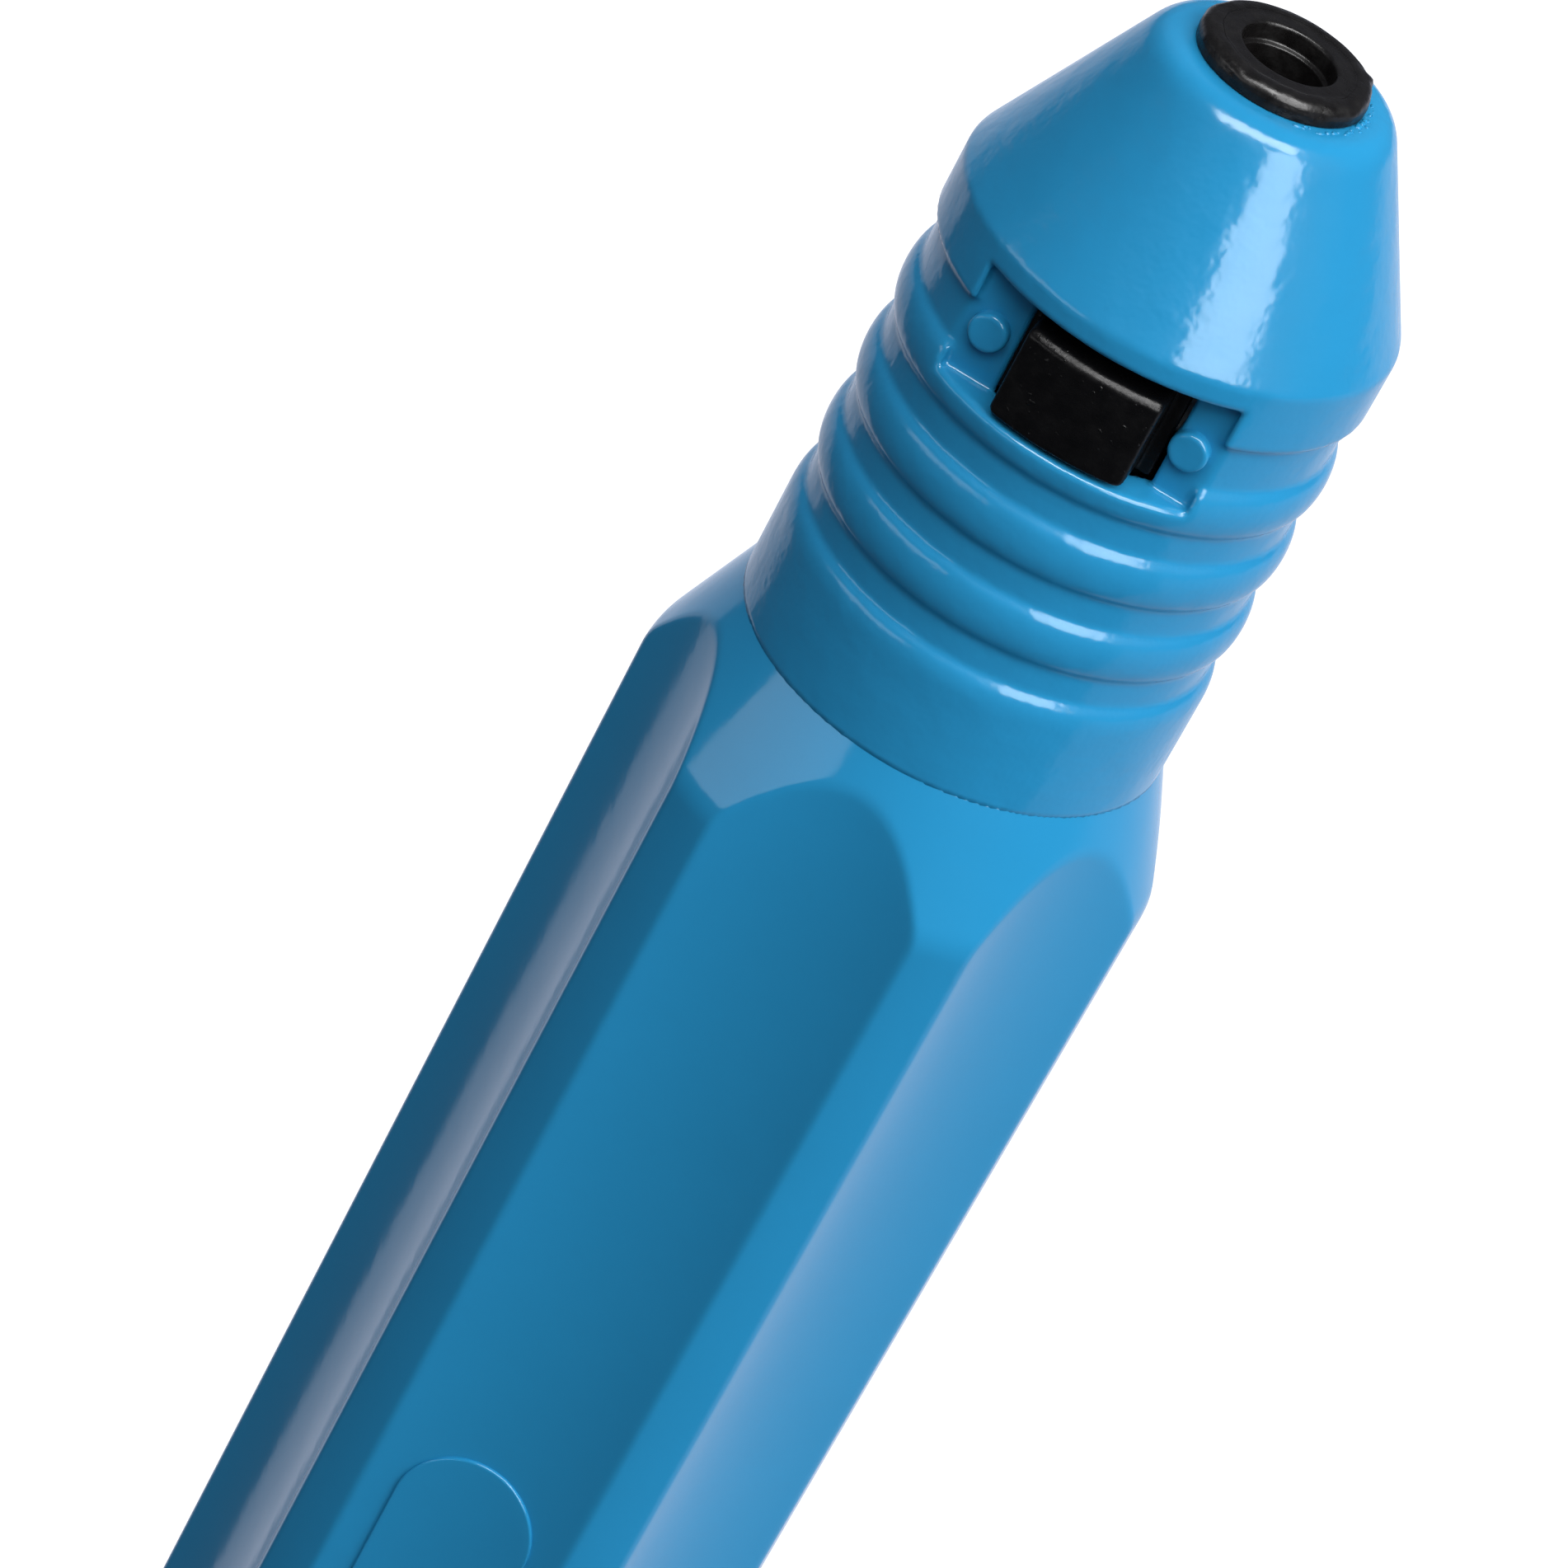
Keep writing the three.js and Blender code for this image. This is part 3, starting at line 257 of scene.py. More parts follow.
def project(field, points, rounds):
    """Points moved along the field's slope onto its surface."""
    step = 0.01  # for measuring the slope
    reach = 0.15  # the longest move in one round
    for _ in range(rounds):
        value = field(*points.T)
        slope = np.empty_like(points)
        for n in range(3):
            shift = np.zeros(3)
            shift[n] = step
            slope[:, n] = (field(*(points + shift).T) - field(*(points - shift).T)) / (2 * step)
        move = value[:, None] * slope / np.maximum((slope ** 2).sum(1), 1e-6)[:, None]
        length = np.linalg.norm(move, axis=1)[:, None]
        points = points - move * np.minimum(1, reach / np.maximum(length, 1e-9))
    return points


# ---- materials ----

def new_material(name, color, roughness, metallic=0.0, specular=0.5, ior=1.5):
    material = bpy.data.materials.new(name)
    material.use_nodes = True
    shader = material.node_tree.nodes["Principled BSDF"]
    shader.inputs["Base Color"].default_value = (*color, 1)
    shader.inputs["Roughness"].default_value = roughness
    shader.inputs["Metallic"].default_value = metallic
    shader.inputs["Specular IOR Level"].default_value = specular
    shader.inputs["IOR"].default_value = ior
    return material


class Nodes:
    """Short names for building one material's nodes."""

    def __init__(self, material):
        self.tree = material.node_tree
        self.shader = self.tree.nodes["Principled BSDF"]
        self.place = self.add("ShaderNodeTexCoord").outputs["Object"]

    def add(self, kind, **inputs):
        node = self.tree.nodes.new(kind)
        for key, value in inputs.items():
            node.inputs[key].default_value = value
        return node

    def link(self, output, target):
        self.tree.links.new(output, target)

    def stretched(self, scale):
        node = self.add("ShaderNodeMapping")
        node.inputs["Scale"].default_value = scale
        self.link(self.place, node.inputs["Vector"])
        return node.outputs["Vector"]

    def noise(self, scale, detail, roughness=0.55, vector=None):
        """Noise round 0.5, whose scale is in lumps per metre."""
        node = self.add("ShaderNodeTexNoise", Scale=scale, Detail=detail, Roughness=roughness)
        self.link(vector or self.place, node.inputs["Vector"])
        return node.outputs["Fac"]

    def ranged(self, value, from_low, from_high, to_low, to_high):
        node = self.add("ShaderNodeMapRange")
        for key, number in zip(("From Min", "From Max", "To Min", "To Max"),
                               (from_low, from_high, to_low, to_high)):
            node.inputs[key].default_value = number
        self.link(value, node.inputs["Value"])
        return node.outputs["Result"]

    def spread(self, noise, low, high):
        """A noise's usual span, stretched to run from low to high."""
        return self.ranged(noise, 0.3, 0.7, low, high)

    def blend(self, factor, first, second):
        node = self.tree.nodes.new("ShaderNodeMix")
        node.data_type = "RGBA"
        node.inputs["A"].default_value = (*first, 1)
        node.inputs["B"].default_value = (*second, 1)
        self.link(factor, node.inputs["Factor"])
        return node.outputs["Result"]

    def bump(self, height, strength, distance_mm, normal=None):
        node = self.add("ShaderNodeBump", Strength=strength, Distance=distance_mm * MM)
        self.link(height, node.inputs["Height"])
        if normal is not None:
            self.link(normal, node.inputs["Normal"])
        return node.outputs["Normal"]

    def set_color(self, output):
        self.link(output, self.shader.inputs["Base Color"])

    def set_roughness(self, output):
        self.link(output, self.shader.inputs["Roughness"])

    def set_normal(self, output):
        self.link(output, self.shader.inputs["Normal"])


def shade(color, factor):
    """A lighter or darker colour."""
    return tuple(min(1.0, c * factor) for c in color)


def moulded_plastic(name, color, gloss, grain_scale=4000, ripple=0.03, variation=0.05, ior=1.5):
    """Injection-moulded plastic: faint ripples, fine grain and slightly uneven gloss and colour.
    ripple is the ripples' height in millimetres, and variation is the colour's."""
    material = new_material(name, color, gloss, ior=ior)
    n = Nodes(material)
    patches = n.noise(60, 3)
    n.set_color(n.blend(patches, shade(color, 1 - variation), shade(color, 1 + variation)))
    n.set_roughness(n.spread(n.noise(180, 4), gloss * 0.85, gloss * 1.25))
    soft = n.bump(n.noise(320, 3), 0.7, ripple)
    n.set_normal(n.bump(n.noise(grain_scale, 2), 0.12, 0.01, soft))
    return material


def soft_rubber(name, color, rough, grain):
    """Soft moulded rubber: a lumpy, slightly scuffed skin. grain is the lumps' height in millimetres."""
    material = new_material(name, color, rough, ior=1.33)
    n = Nodes(material)
    lumps = n.noise(900, 5, 0.6)
    n.set_color(n.blend(n.noise(400, 4), shade(color, 0.7), shade(color, 1.5)))
    n.set_roughness(n.spread(lumps, rough * 0.6, rough * 1.5))
    swells = n.bump(n.noise(350, 2), 0.5, 2 * grain)
    n.set_normal(n.bump(lumps, 0.6, grain, swells))
    return material


def worked_metal(name, color, rough, lines=(1, 1, 40)):
    """Drawn or turned metal: fine lines across the direction in which lines is large."""
    material = new_material(name, color, rough, metallic=1.0)
    n = Nodes(material)
    streaks = n.noise(300, 4, 0.7, n.stretched(lines))
    n.set_color(n.blend(streaks, shade(color, 0.82), shade(color, 1.12)))
    n.set_roughness(n.spread(streaks, rough * 0.8, rough * 1.3))
    n.set_normal(n.bump(streaks, 0.15, 0.01))
    return material


def circuit_board_material(name, color):
    """Solder mask with faint copper tracks under it."""
    material = new_material(name, color, 0.32)
    n = Nodes(material)
    tracks = n.add("ShaderNodeTexBrick", Scale=350)
    n.link(n.place, tracks.inputs["Vector"])
    tracks.inputs["Color1"].default_value = (*shade(color, 0.9), 1)
    tracks.inputs["Color2"].default_value = (*shade(color, 1.15), 1)
    tracks.inputs["Mortar"].default_value = (*shade(color, 2.2), 1)
    tracks.inputs["Mortar Size"].default_value = 0.03
    n.set_color(tracks.outputs["Color"])
    n.set_normal(n.bump(tracks.outputs["Fac"], 0.2, 0.03))
    return material


def cell_wrap_material(name, color):
    """The printed sleeve of a dry cell: a golden band above band_z and a faint print grain."""
    band_z = 0.0495  # in metres
    band_edge = 0.0005
    material = new_material(name, color, 0.28, metallic=0.4)
    n = Nodes(material)
    split = n.add("ShaderNodeSeparateXYZ")
    n.link(n.place, split.inputs["Vector"])
    band = n.ranged(split.outputs["Z"], band_z, band_z + band_edge, 0, 1)
    n.set_color(n.blend(band, color, (0.55, 0.32, 0.05)))
    n.set_roughness(n.spread(n.noise(500, 3), 0.22, 0.36))
    n.set_normal(n.bump(n.noise(1200, 2), 0.1, 0.01))
    return material


def key_material(name, color):
    """Black moulded plastic with a fine grain and a few raised specks."""
    material = new_material(name, color, 0.3, ior=1.22)
    n = Nodes(material)
    grain = n.noise(2500, 3)
    n.set_color(n.blend(n.noise(700, 4), shade(color, 0.7), shade(color, 1.6)))
    n.set_roughness(n.spread(n.noise(900, 4), 0.24, 0.42))
    specks = n.ranged(n.noise(2200, 1), 0.7, 0.82, 0, 1)
    n.set_normal(n.bump(specks, 1, 0.05, n.bump(grain, 0.6, 0.06)))
    return material


BLUE = (0.017, 0.232, 0.455)
MATERIALS = {
    "blue_plastic": moulded_plastic("blue plastic", BLUE, 0.15, ripple=0.18, ior=1.3),
    "grip_plastic": moulded_plastic("grip plastic", BLUE, 0.11, ripple=0.04, ior=1.3),
    "black_plastic": moulded_plastic(
        "black plastic", (0.006, 0.006, 0.007), 0.34, grain_scale=5000, variation=0.3
    ),
    "key": key_material("key plastic", (0.0018, 0.0018, 0.002)),
    "black_rubber": soft_rubber("black rubber", (0.004, 0.0036, 0.0036), 0.33, 0.13),
    "clear_silicone": soft_rubber("clear silicone", (0.62, 0.66, 0.63), 0.4, 0.02),
    "grey_plastic": moulded_plastic("grey plastic", (0.25, 0.27, 0.29), 0.5),
    "white_plastic": moulded_plastic("white plastic", (0.74, 0.74, 0.70), 0.42),
    "steel": worked_metal("drawn steel", (0.62, 0.63, 0.65), 0.28),
    "dark_steel": worked_metal("dark steel", (0.10, 0.105, 0.115), 0.5),
    "copper": worked_metal("copper windings", (0.62, 0.22, 0.09), 0.35, (1, 1, 90)),
    "brass": worked_metal("turned brass", (0.70, 0.50, 0.17), 0.25),
    "circuit_board": circuit_board_material("circuit board", (0.012, 0.12, 0.045)),
    "cell_wrap": cell_wrap_material("cell wrap", (0.32, 0.36, 0.42)),
    "red_insulation": moulded_plastic("red insulation", (0.45, 0.02, 0.02), 0.4),
    "black_insulation": moulded_plastic("black insulation", (0.012, 0.012, 0.012), 0.4),
}


def finish_piece(piece, body, slot, *replaced):
    """Ties a new piece to its body and hides the CAD nodes it stands for. The slot argument is not used."""
    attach(piece, body)
    if replaced:
        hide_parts(*replaced)
    return piece


# ---- the grip ----

FLUTE_COUNT = 6
FLUTE_FLOOR = 14.98  # from the axis to the middle of a flute
FLUTE_ARC = 24.7  # radius of a flute's own curve
SHOULDER_SLOPE = 3.45 / 8.3
SHOULDER_HEIGHT = 12
BUTT_SLOPE = 2.7 / 7
BUTT_RADIUS = 14.8
BUTT_HEIGHT = 11
BUTT_CHAMFER = 0.25
HIDDEN_COLLAR = 0.2  # how far the grip and the nose reach into each other
COLLAR_CHAMFER = 0.2
LAND_SOFTNESS = 0.4
FLUTE_SOFTNESS = 0.22
BORE_RADIUS = 13.0
BORE_CHAMFER = 0.3
GRIP_COLUMNS = 540  # a multiple of the flute count, so that all flutes come out alike


def flute_radius(angle):
    """Distance from the axis to the flutes' surface. One flute faces the key's side, the -Y direction."""
    pitch = TAU / FLUTE_COUNT
    off = (angle + math.pi / 2 + pitch / 2) % pitch - pitch / 2
    centre = FLUTE_FLOOR + FLUTE_ARC
    return centre * np.cos(off) - np.sqrt(FLUTE_ARC ** 2 - (centre * np.sin(off)) ** 2)


def grip_radius(angle, z):
    """Distance from the axis to the grip's outside: the flutes cut into a barrel with sloping ends."""
    shoulder = NECK_RADIUS + (NECK_LINE_Z - z) * SHOULDER_SLOPE
    butt = BUTT_RADIUS + (z - GRIP_LOW[2]) * BUTT_SLOPE
    land = smooth_min(shoulder, butt, LAND_SOFTNESS)
    land = smooth_min(land, np.full_like(land, GRIP_RADIUS), LAND_SOFTNESS)
    return smooth_min(land, flute_radius(angle) + 0 * z, FLUTE_SOFTNESS)


def grip_heights():
    """Heights of the rows: close together on the shoulder and the butt, far apart between them."""
    low = GRIP_LOW[2]
    top = NECK_LINE_Z + HIDDEN_COLLAR
    butt_row, shoulder_row, middle_rows = 0.3, 0.16, 36
    first_row = 0.12  # above the foot, where the butt's chamfer ends
    butt = np.arange(low + first_row, low + BUTT_HEIGHT, butt_row)
    middle = np.linspace(low + BUTT_HEIGHT, top - SHOULDER_HEIGHT, middle_rows)[1:-1]
    shoulder = np.arange(top - SHOULDER_HEIGHT, top - 0.1, shoulder_row)
    return np.concatenate([butt, middle, shoulder, [top]])


def build_grip():
    """The fluted sleeve, open at both ends: its foot, outside, upper rim and bore as one closed grid."""
    angles = np.arange(GRIP_COLUMNS) / GRIP_COLUMNS * TAU
    a, z = np.meshgrid(angles, grip_heights())
    radius = grip_radius(a, z)
    outer = np.stack([radius * np.cos(a), radius * np.sin(a), z], -1)
    low_z = GRIP_LOW[2]
    top_z = NECK_LINE_Z + HIDDEN_COLLAR
    bore_ends = (top_z - BORE_CHAMFER, low_z + BORE_CHAMFER)
    low = lathe_points([
        [BORE_RADIUS, bore_ends[1]],
        [BORE_RADIUS + BORE_CHAMFER, low_z],
        [BUTT_RADIUS - BUTT_CHAMFER, low_z],
    ], angles)
    high = lathe_points([
        [NECK_RADIUS - COLLAR_CHAMFER, top_z],
        [BORE_RADIUS + BORE_CHAMFER, top_z],
        [BORE_RADIUS, bore_ends[0]],
    ], angles)
    bore = lathe_points([[BORE_RADIUS, height] for height in np.linspace(*bore_ends, 30)[1:-1]], angles)
    grid = np.concatenate([low, outer, high, bore])
    faces = grid_faces(len(grid), GRIP_COLUMNS, True)
    piece = make_piece("grip_shell", grid.reshape(-1, 3), faces, MATERIALS["grip_plastic"])
    return finish_piece(piece, "main", "blue_plastic", "grip_sleeve")


# ---- the oval pad in the front flute ----

PAD_TOP_DROP = 106.4  # from the tip down to the pad's upper end
PAD_LENGTH = 46
PAD_HALF_WIDTH = 4.85
PAD_PROUD = 0.24
PAD_SUNK = 0.4
PAD_ROUNDING = 0.16


def build_pad():
    """A thin oval plate whose face follows the flute, with a rounded edge. Its rows are ovals that run
    from the middle of the back out to the edge, round it, and in to the middle of the face."""
    top = TIP_Z - PAD_TOP_DROP - PAD_HALF_WIDTH
    low = TIP_Z - PAD_TOP_DROP - PAD_LENGTH + PAD_HALF_WIDTH
    half_turn = np.linspace(0, math.pi, 40)
    side = np.linspace(0, 1, 24)[1:-1]
    oval = []  # sideways and upward shares of the reach, and the height they are measured from
    for start, end, turn, edge in ((top, low, 0, -1), (low, top, math.pi, 1)):
        oval += [(math.cos(angle), math.sin(angle), start) for angle in half_turn + turn]
        oval += [(edge, 0, start + (end - start) * t) for t in side]
    across, upward, level = np.array(oval).T
    rim = [(0.0, 0.0)]
    for bend in np.linspace(0.1, 1, 7) * math.pi / 2:
        rim.append((PAD_ROUNDING * (1 - math.cos(bend)), PAD_PROUD - PAD_ROUNDING * (1 - math.sin(bend))))
    face = [(inset, PAD_PROUD) for inset in np.linspace(0.5, PAD_HALF_WIDTH, 9)]
    back = [(inset, -PAD_SUNK) for inset in (PAD_HALF_WIDTH, 2.4, 0.0)]
    rows = []
    for inset, lift in back + rim + face:
        reach = PAD_HALF_WIDTH - inset
        x = across * reach
        z = level + upward * reach
        floor = FLUTE_FLOOR + FLUTE_ARC - np.sqrt(FLUTE_ARC ** 2 - x ** 2)
        rows.append(np.stack([x, -(floor + lift), z], -1))
    grid = np.array(rows)
    faces = grid_faces(len(grid), grid.shape[1], False)
    piece = make_piece("thumb_pad", grid.reshape(-1, 3), faces, MATERIALS["grip_plastic"])
    join_doubles(piece)
    return finish_piece(piece, "main", "blue_plastic")


# ---- the nose ----

CONE_BASE_Z = TIP_Z - 14.2
RIM_Z = TIP_Z - 18.4
FIRST_RIB_Z = TIP_Z - 23.4
RIB_PITCH = 5.55
RIB_COUNT = 4
RIB_HALF_WIDTH = 1.7
RIB_SOFTNESS = 0.15
VALLEY_RADIUS = 13.46
CONE_TOP_RADIUS = 7.4
CONE_TOP_SOFTNESS = 1.3
POCKET_LOW_Z = TIP_Z - 23.2
POCKET_TOP_Z = TIP_Z - 15.75
POCKET_HALF_WIDTH = 8.25
POCKET_FLOOR_Y = -10.5
POCKET_CORNER_SOFTNESS = 0.3
POCKET_EDGE_SOFTNESS = 0.5
OPENING_LEFT = -4.8
OPENING_RIGHT = 5.65
OPENING_BACK_Y = -5
OPENING_EDGE_SOFTNESS = 0.2
NOSE_BORE = 11.2
BORE_TAPER_Z = TIP_Z - 15.7, TIP_Z - 6.5  # where the bore starts and stops narrowing inside the cone
BORE_TAPER_END = 6.9
SOCKET_HOLE_LOW_Z = TIP_Z - 6.3
SOCKET_HOLE_RADIUS = 4.9
BORE_EDGE_SOFTNESS = 0.12
SPIGOT_RADIUS = 12.7
SPIGOT_OVERLAP = 2  # how far the spigot's top reaches up inside the neck
OUTLINE_STEP = 0.02
OUTLINE_MARGIN = 3


def neck_table():
    """Heights and radii of the nose's outline, with its corners softened."""
    z = np.arange(NECK_LINE_Z - OUTLINE_MARGIN, CONE_TOP_Z + OUTLINE_MARGIN, OUTLINE_STEP)
    slope = (NECK_RADIUS - CONE_TOP_RADIUS) / (CONE_TOP_Z - CONE_BASE_Z)
    radius = np.minimum(NECK_RADIUS, NECK_RADIUS - (z - CONE_BASE_Z) * slope)
    last_rib = FIRST_RIB_Z - (RIB_COUNT - 1) * RIB_PITCH
    ribbed = (z > last_rib) & (z < RIM_Z)
    rib = np.full_like(z, VALLEY_RADIUS)
    for i in range(RIB_COUNT):
        across = (z - (FIRST_RIB_Z - i * RIB_PITCH)) / RIB_HALF_WIDTH
        height = (NECK_RADIUS - VALLEY_RADIUS) * np.sqrt(np.clip(1 - across ** 2, 0, 1))
        rib = np.maximum(rib, VALLEY_RADIUS + height)
    radius = np.where(ribbed, rib, radius)
    reach = round(4 * RIB_SOFTNESS / OUTLINE_STEP)
    kernel = np.exp(-0.5 * (np.arange(-reach, reach + 1) * OUTLINE_STEP / RIB_SOFTNESS) ** 2)
    return z, np.convolve(np.pad(radius, reach, "edge"), kernel / kernel.sum(), "valid")


NECK_Z, NECK_R = neck_table()


def nose_field(x, y, z):
    """Roughly the distance to the nose's surface: cone, neck and spigot, less bore, pocket and opening."""
    r = np.hypot(x, y)
    body = smooth_max(r - np.interp(z, NECK_Z, NECK_R), z - CONE_TOP_Z, CONE_TOP_SOFTNESS)
    body = np.maximum(body, NECK_LINE_Z - HIDDEN_COLLAR - z)
    spigot = np.maximum(np.maximum(r - SPIGOT_RADIUS, NOSE_LOW[2] - z), z - NECK_LINE_Z - SPIGOT_OVERLAP)
    solid = np.minimum(body, spigot)
    bore = np.interp(z, [*BORE_TAPER_Z, SOCKET_HOLE_LOW_Z], [NOSE_BORE, BORE_TAPER_END, SOCKET_HOLE_RADIUS])
    solid = smooth_max(solid, bore - r, BORE_EDGE_SOFTNESS)
    middle = (POCKET_LOW_Z + POCKET_TOP_Z) / 2
    half = (POCKET_TOP_Z - POCKET_LOW_Z) / 2
    tall = np.abs(z - middle) - half
    pocket = smooth_max(np.abs(x) - POCKET_HALF_WIDTH, tall, POCKET_CORNER_SOFTNESS)
    pocket = smooth_max(pocket, y - POCKET_FLOOR_Y, POCKET_CORNER_SOFTNESS)
    wide = np.maximum(OPENING_LEFT - x, x - OPENING_RIGHT)
    opening = smooth_max(np.maximum(wide, tall), y - OPENING_BACK_Y, 0.1)
    solid = smooth_max(solid, -pocket, POCKET_EDGE_SOFTNESS)
    return smooth_max(solid, -opening, OPENING_EDGE_SOFTNESS)


def build_nose():
    """The nose's surface, sampled more closely along the ribs and the pocket than elsewhere."""
    cell = 0.3
    ribs_row, spigot_row, cone_row = 0.22, 0.45, 0.35
    ribs_low_z = TIP_Z - 44.5
    ribs_top_z = TIP_Z - 12.5
    reach = NECK_RADIUS + 2 * cell
    across = np.arange(-reach, reach + cell, cell)
    fine = np.arange(ribs_low_z, ribs_top_z, ribs_row)
    below = np.arange(NOSE_LOW[2] - 2 * spigot_row, fine[0] - 0.2, spigot_row)
    above = np.arange(fine[-1] + cone_row, CONE_TOP_Z + 0.8, cone_row)
    points, faces = surface_of(nose_field, across, across, np.concatenate([below, fine, above]))
    piece = make_piece("nose_shell", points, faces, MATERIALS["blue_plastic"])
    return finish_piece(piece, "main", "blue_plastic", "nose_housing")


FLASH_SPECKS = 26
FLASH_START = -62  # degrees round from the right-hand side
FLASH_END = 22


def build_flash():
    """Small specks of moulding flash left where the cone meets the ring, on the side towards the nub."""
    dice = np.random.default_rng(7)
    shape = bmesh.new()
    even = np.radians(np.linspace(FLASH_START, FLASH_END, FLASH_SPECKS))
    for angle in even + dice.normal(0, 0.03, FLASH_SPECKS):
        reach = SOCKET_HIGH[0] + dice.uniform(0.02, 0.5)
        size = dice.uniform(0.07, 0.2)
        place = Vector((reach * math.cos(angle), reach * math.sin(angle), CONE_TOP_Z - 0.02)) * MM
        stretch = Matrix.Diagonal((1, dice.uniform(1, 2.2), 0.8, 1))
        turn = Matrix.Rotation(angle, 4, "Z")
        bmesh.ops.create_icosphere(shape, subdivisions=2, radius=size * MM,
                                   matrix=Matrix.Translation(place) @ turn @ stretch)
    mesh = bpy.data.meshes.new("cone_flash")
    shape.to_mesh(mesh)
    shape.free()
    mesh.materials.append(MATERIALS["blue_plastic"])
    mesh.shade_smooth()
    return finish_piece(add_object("cone_flash", mesh), "main", "blue_plastic")


PIN_CHAMFER = 0.3
PIN_SUNK = 2  # how far the pins reach in behind the pocket's floor


def build_key_pins():
    """Two short pins with chamfered heads on the pocket's floor."""
    middle = (PIN_LOW + PIN_HIGH) / 2
    radius = (PIN_HIGH[0] - PIN_LOW[0]) / 2
    face = -PIN_LOW[1]
    floor = -POCKET_FLOOR_Y
    foot = floor - PIN_SUNK
    corners = [(0, foot, 0), (radius, foot, 0), (radius, face, PIN_CHAMFER), (0, face, 0)]
    for name, side in (("key_pin_left", -1), ("key_pin_right", 1)):
        pin = turned_piece(name + "_shell", corners, MATERIALS["blue_plastic"], 40)
        turn = Matrix.Rotation(math.pi / 2, 4, "X")
        place = Matrix.Translation(Vector((side * middle[0], 0, middle[2])) * MM)
        pin.data.transform(place @ turn)
        finish_piece(pin, "main", "blue_plastic", name)


# ---- the key ----

KEY_HALF_WIDTH = 4.43
KEY_TOP_Z = TIP_Z - 16.8
KEY_TOP_CHAMFER = 0.38
KEY_CORNER_SOFTNESS = 0.5
KEY_RIM_SOFTNESS = 0.3
KEY_BACK_Y = -9.6
FLANGE_THICKNESS = 1.0
FLANGE_FILLET = 0.25


def key_field(x, y, z):
    """Roughly the distance to the key's surface: a face flush with the neck and a wider flange behind."""
    r = np.hypot(x, y)
    height = smooth_max(z - KEY_TOP_Z, KEY_LOW[2] - z, 0.2)
    face = smooth_max(np.abs(x) - KEY_HALF_WIDTH, height, KEY_CORNER_SOFTNESS)
    face = smooth_max(face, r - NECK_RADIUS, KEY_RIM_SOFTNESS)
    chamfer = ((z - KEY_TOP_Z) + (r - NECK_RADIUS) + KEY_TOP_CHAMFER) / math.sqrt(2)
    face = smooth_max(face, chamfer, 0.12)
    face = np.maximum(face, y - KEY_BACK_Y)
    flange_y = np.abs(y - KEY_HIGH[1] + FLANGE_THICKNESS / 2) - FLANGE_THICKNESS / 2
    flange_z = np.maximum(z - KEY_HIGH[2], KEY_LOW[2] - z)
    flange = smooth_max(smooth_max(np.abs(x) - KEY_HIGH[0], flange_z, 0.3), flange_y, 0.2)
    return smooth_min(face, flange, FLANGE_FILLET)


def build_key():
    cell = 0.14
    axes = [np.arange(low - 3 * cell, high + 4 * cell, cell) for low, high in zip(KEY_LOW, KEY_HIGH)]
    points, faces = surface_of(key_field, *axes)
    piece = make_piece("key_shell", points, faces, MATERIALS["key"])
    return finish_piece(piece, "key", "black_plastic", "key_cap")


# ---- the pipette socket ----

SLEEVE_RADIUS = 4.6
MOUTH_RADIUS = 3.0
MOUTH_DEPTH = 1.3
HOLDING_BORE_RADIUS = 2.7
HOLDING_BORE_DEPTH = 7
TAIL_BORE_RADIUS = 1.65
RING_LIP_WIDTH = 1.1
RING_FACE_DROP = 0.12  # how far the face lies below its raised outer lip
LUMP_HEIGHT = 0.07
NUB_ANGLE = math.radians(32)
NUB_HALF_WIDTH = 0.075  # radians
NUB_REACH = 0.34


def build_socket():
    """The soft ring and its sleeve, with a lumpy moulded face and a small nub of flash at one side."""
    ring = SOCKET_HIGH[0]
    shoulder_z = CONE_TOP_Z + 0.02
    face_z = TIP_Z - RING_FACE_DROP
    step_z = TIP_Z - MOUTH_DEPTH
    seat_z = TIP_Z - HOLDING_BORE_DEPTH
    corners = [
        (TAIL_BORE_RADIUS, SOCKET_LOW[2], 0),
        (SLEEVE_RADIUS, SOCKET_LOW[2], 0.4),
        (SLEEVE_RADIUS, shoulder_z, 0),
        (ring - 0.1, shoulder_z, 0.1),
        (ring, TIP_Z, 0.8),
        (ring - RING_LIP_WIDTH, TIP_Z, 0.2),
        (ring - RING_LIP_WIDTH - 0.3, face_z, 0.2),
        (MOUTH_RADIUS, face_z, 0.22),
        (MOUTH_RADIUS, step_z, 0.1),
        (HOLDING_BORE_RADIUS, step_z - 0.1, 0.08),
        (HOLDING_BORE_RADIUS, seat_z, 0.2),
        (TAIL_BORE_RADIUS, seat_z, 0),
    ]

    def lumpy(grid):
        """Moves only the points near the top and outside the mouth: waves round the axis, and the nub."""
        x, y, z = np.moveaxis(grid, -1, 0)
        angle = np.arctan2(y, x)
        r = np.hypot(x, y)
        top = smooth_step(TIP_Z - 1.3, TIP_Z - 0.2, z)
        wave = np.sin(5 * angle + 0.7) + 0.6 * np.sin(9 * angle + 2.1) + 0.5 * np.sin(17 * angle + 4)
        swell = LUMP_HEIGHT * wave * top
        near = (angle - NUB_ANGLE + math.pi) % TAU - math.pi
        nub = NUB_REACH * np.exp(-(near / NUB_HALF_WIDTH) ** 2) * smooth_step(ring - 0.9, ring, r) * top
        outside = smooth_step(MOUTH_RADIUS + 0.5, ring - 0.5, r)
        scale = (r + (nub - swell - 0.05 * top) * outside) / r
        drop = (0.03 * wave - 0.06) * top * outside
        return np.stack([x * scale, y * scale, z + drop], -1)

    piece = turned_piece("socket_ring", corners, MATERIALS["black_rubber"], 160, lumpy)
    return finish_piece(piece, "socket", "black_rubber", "pipette_socket")


# ---- the end cap ----

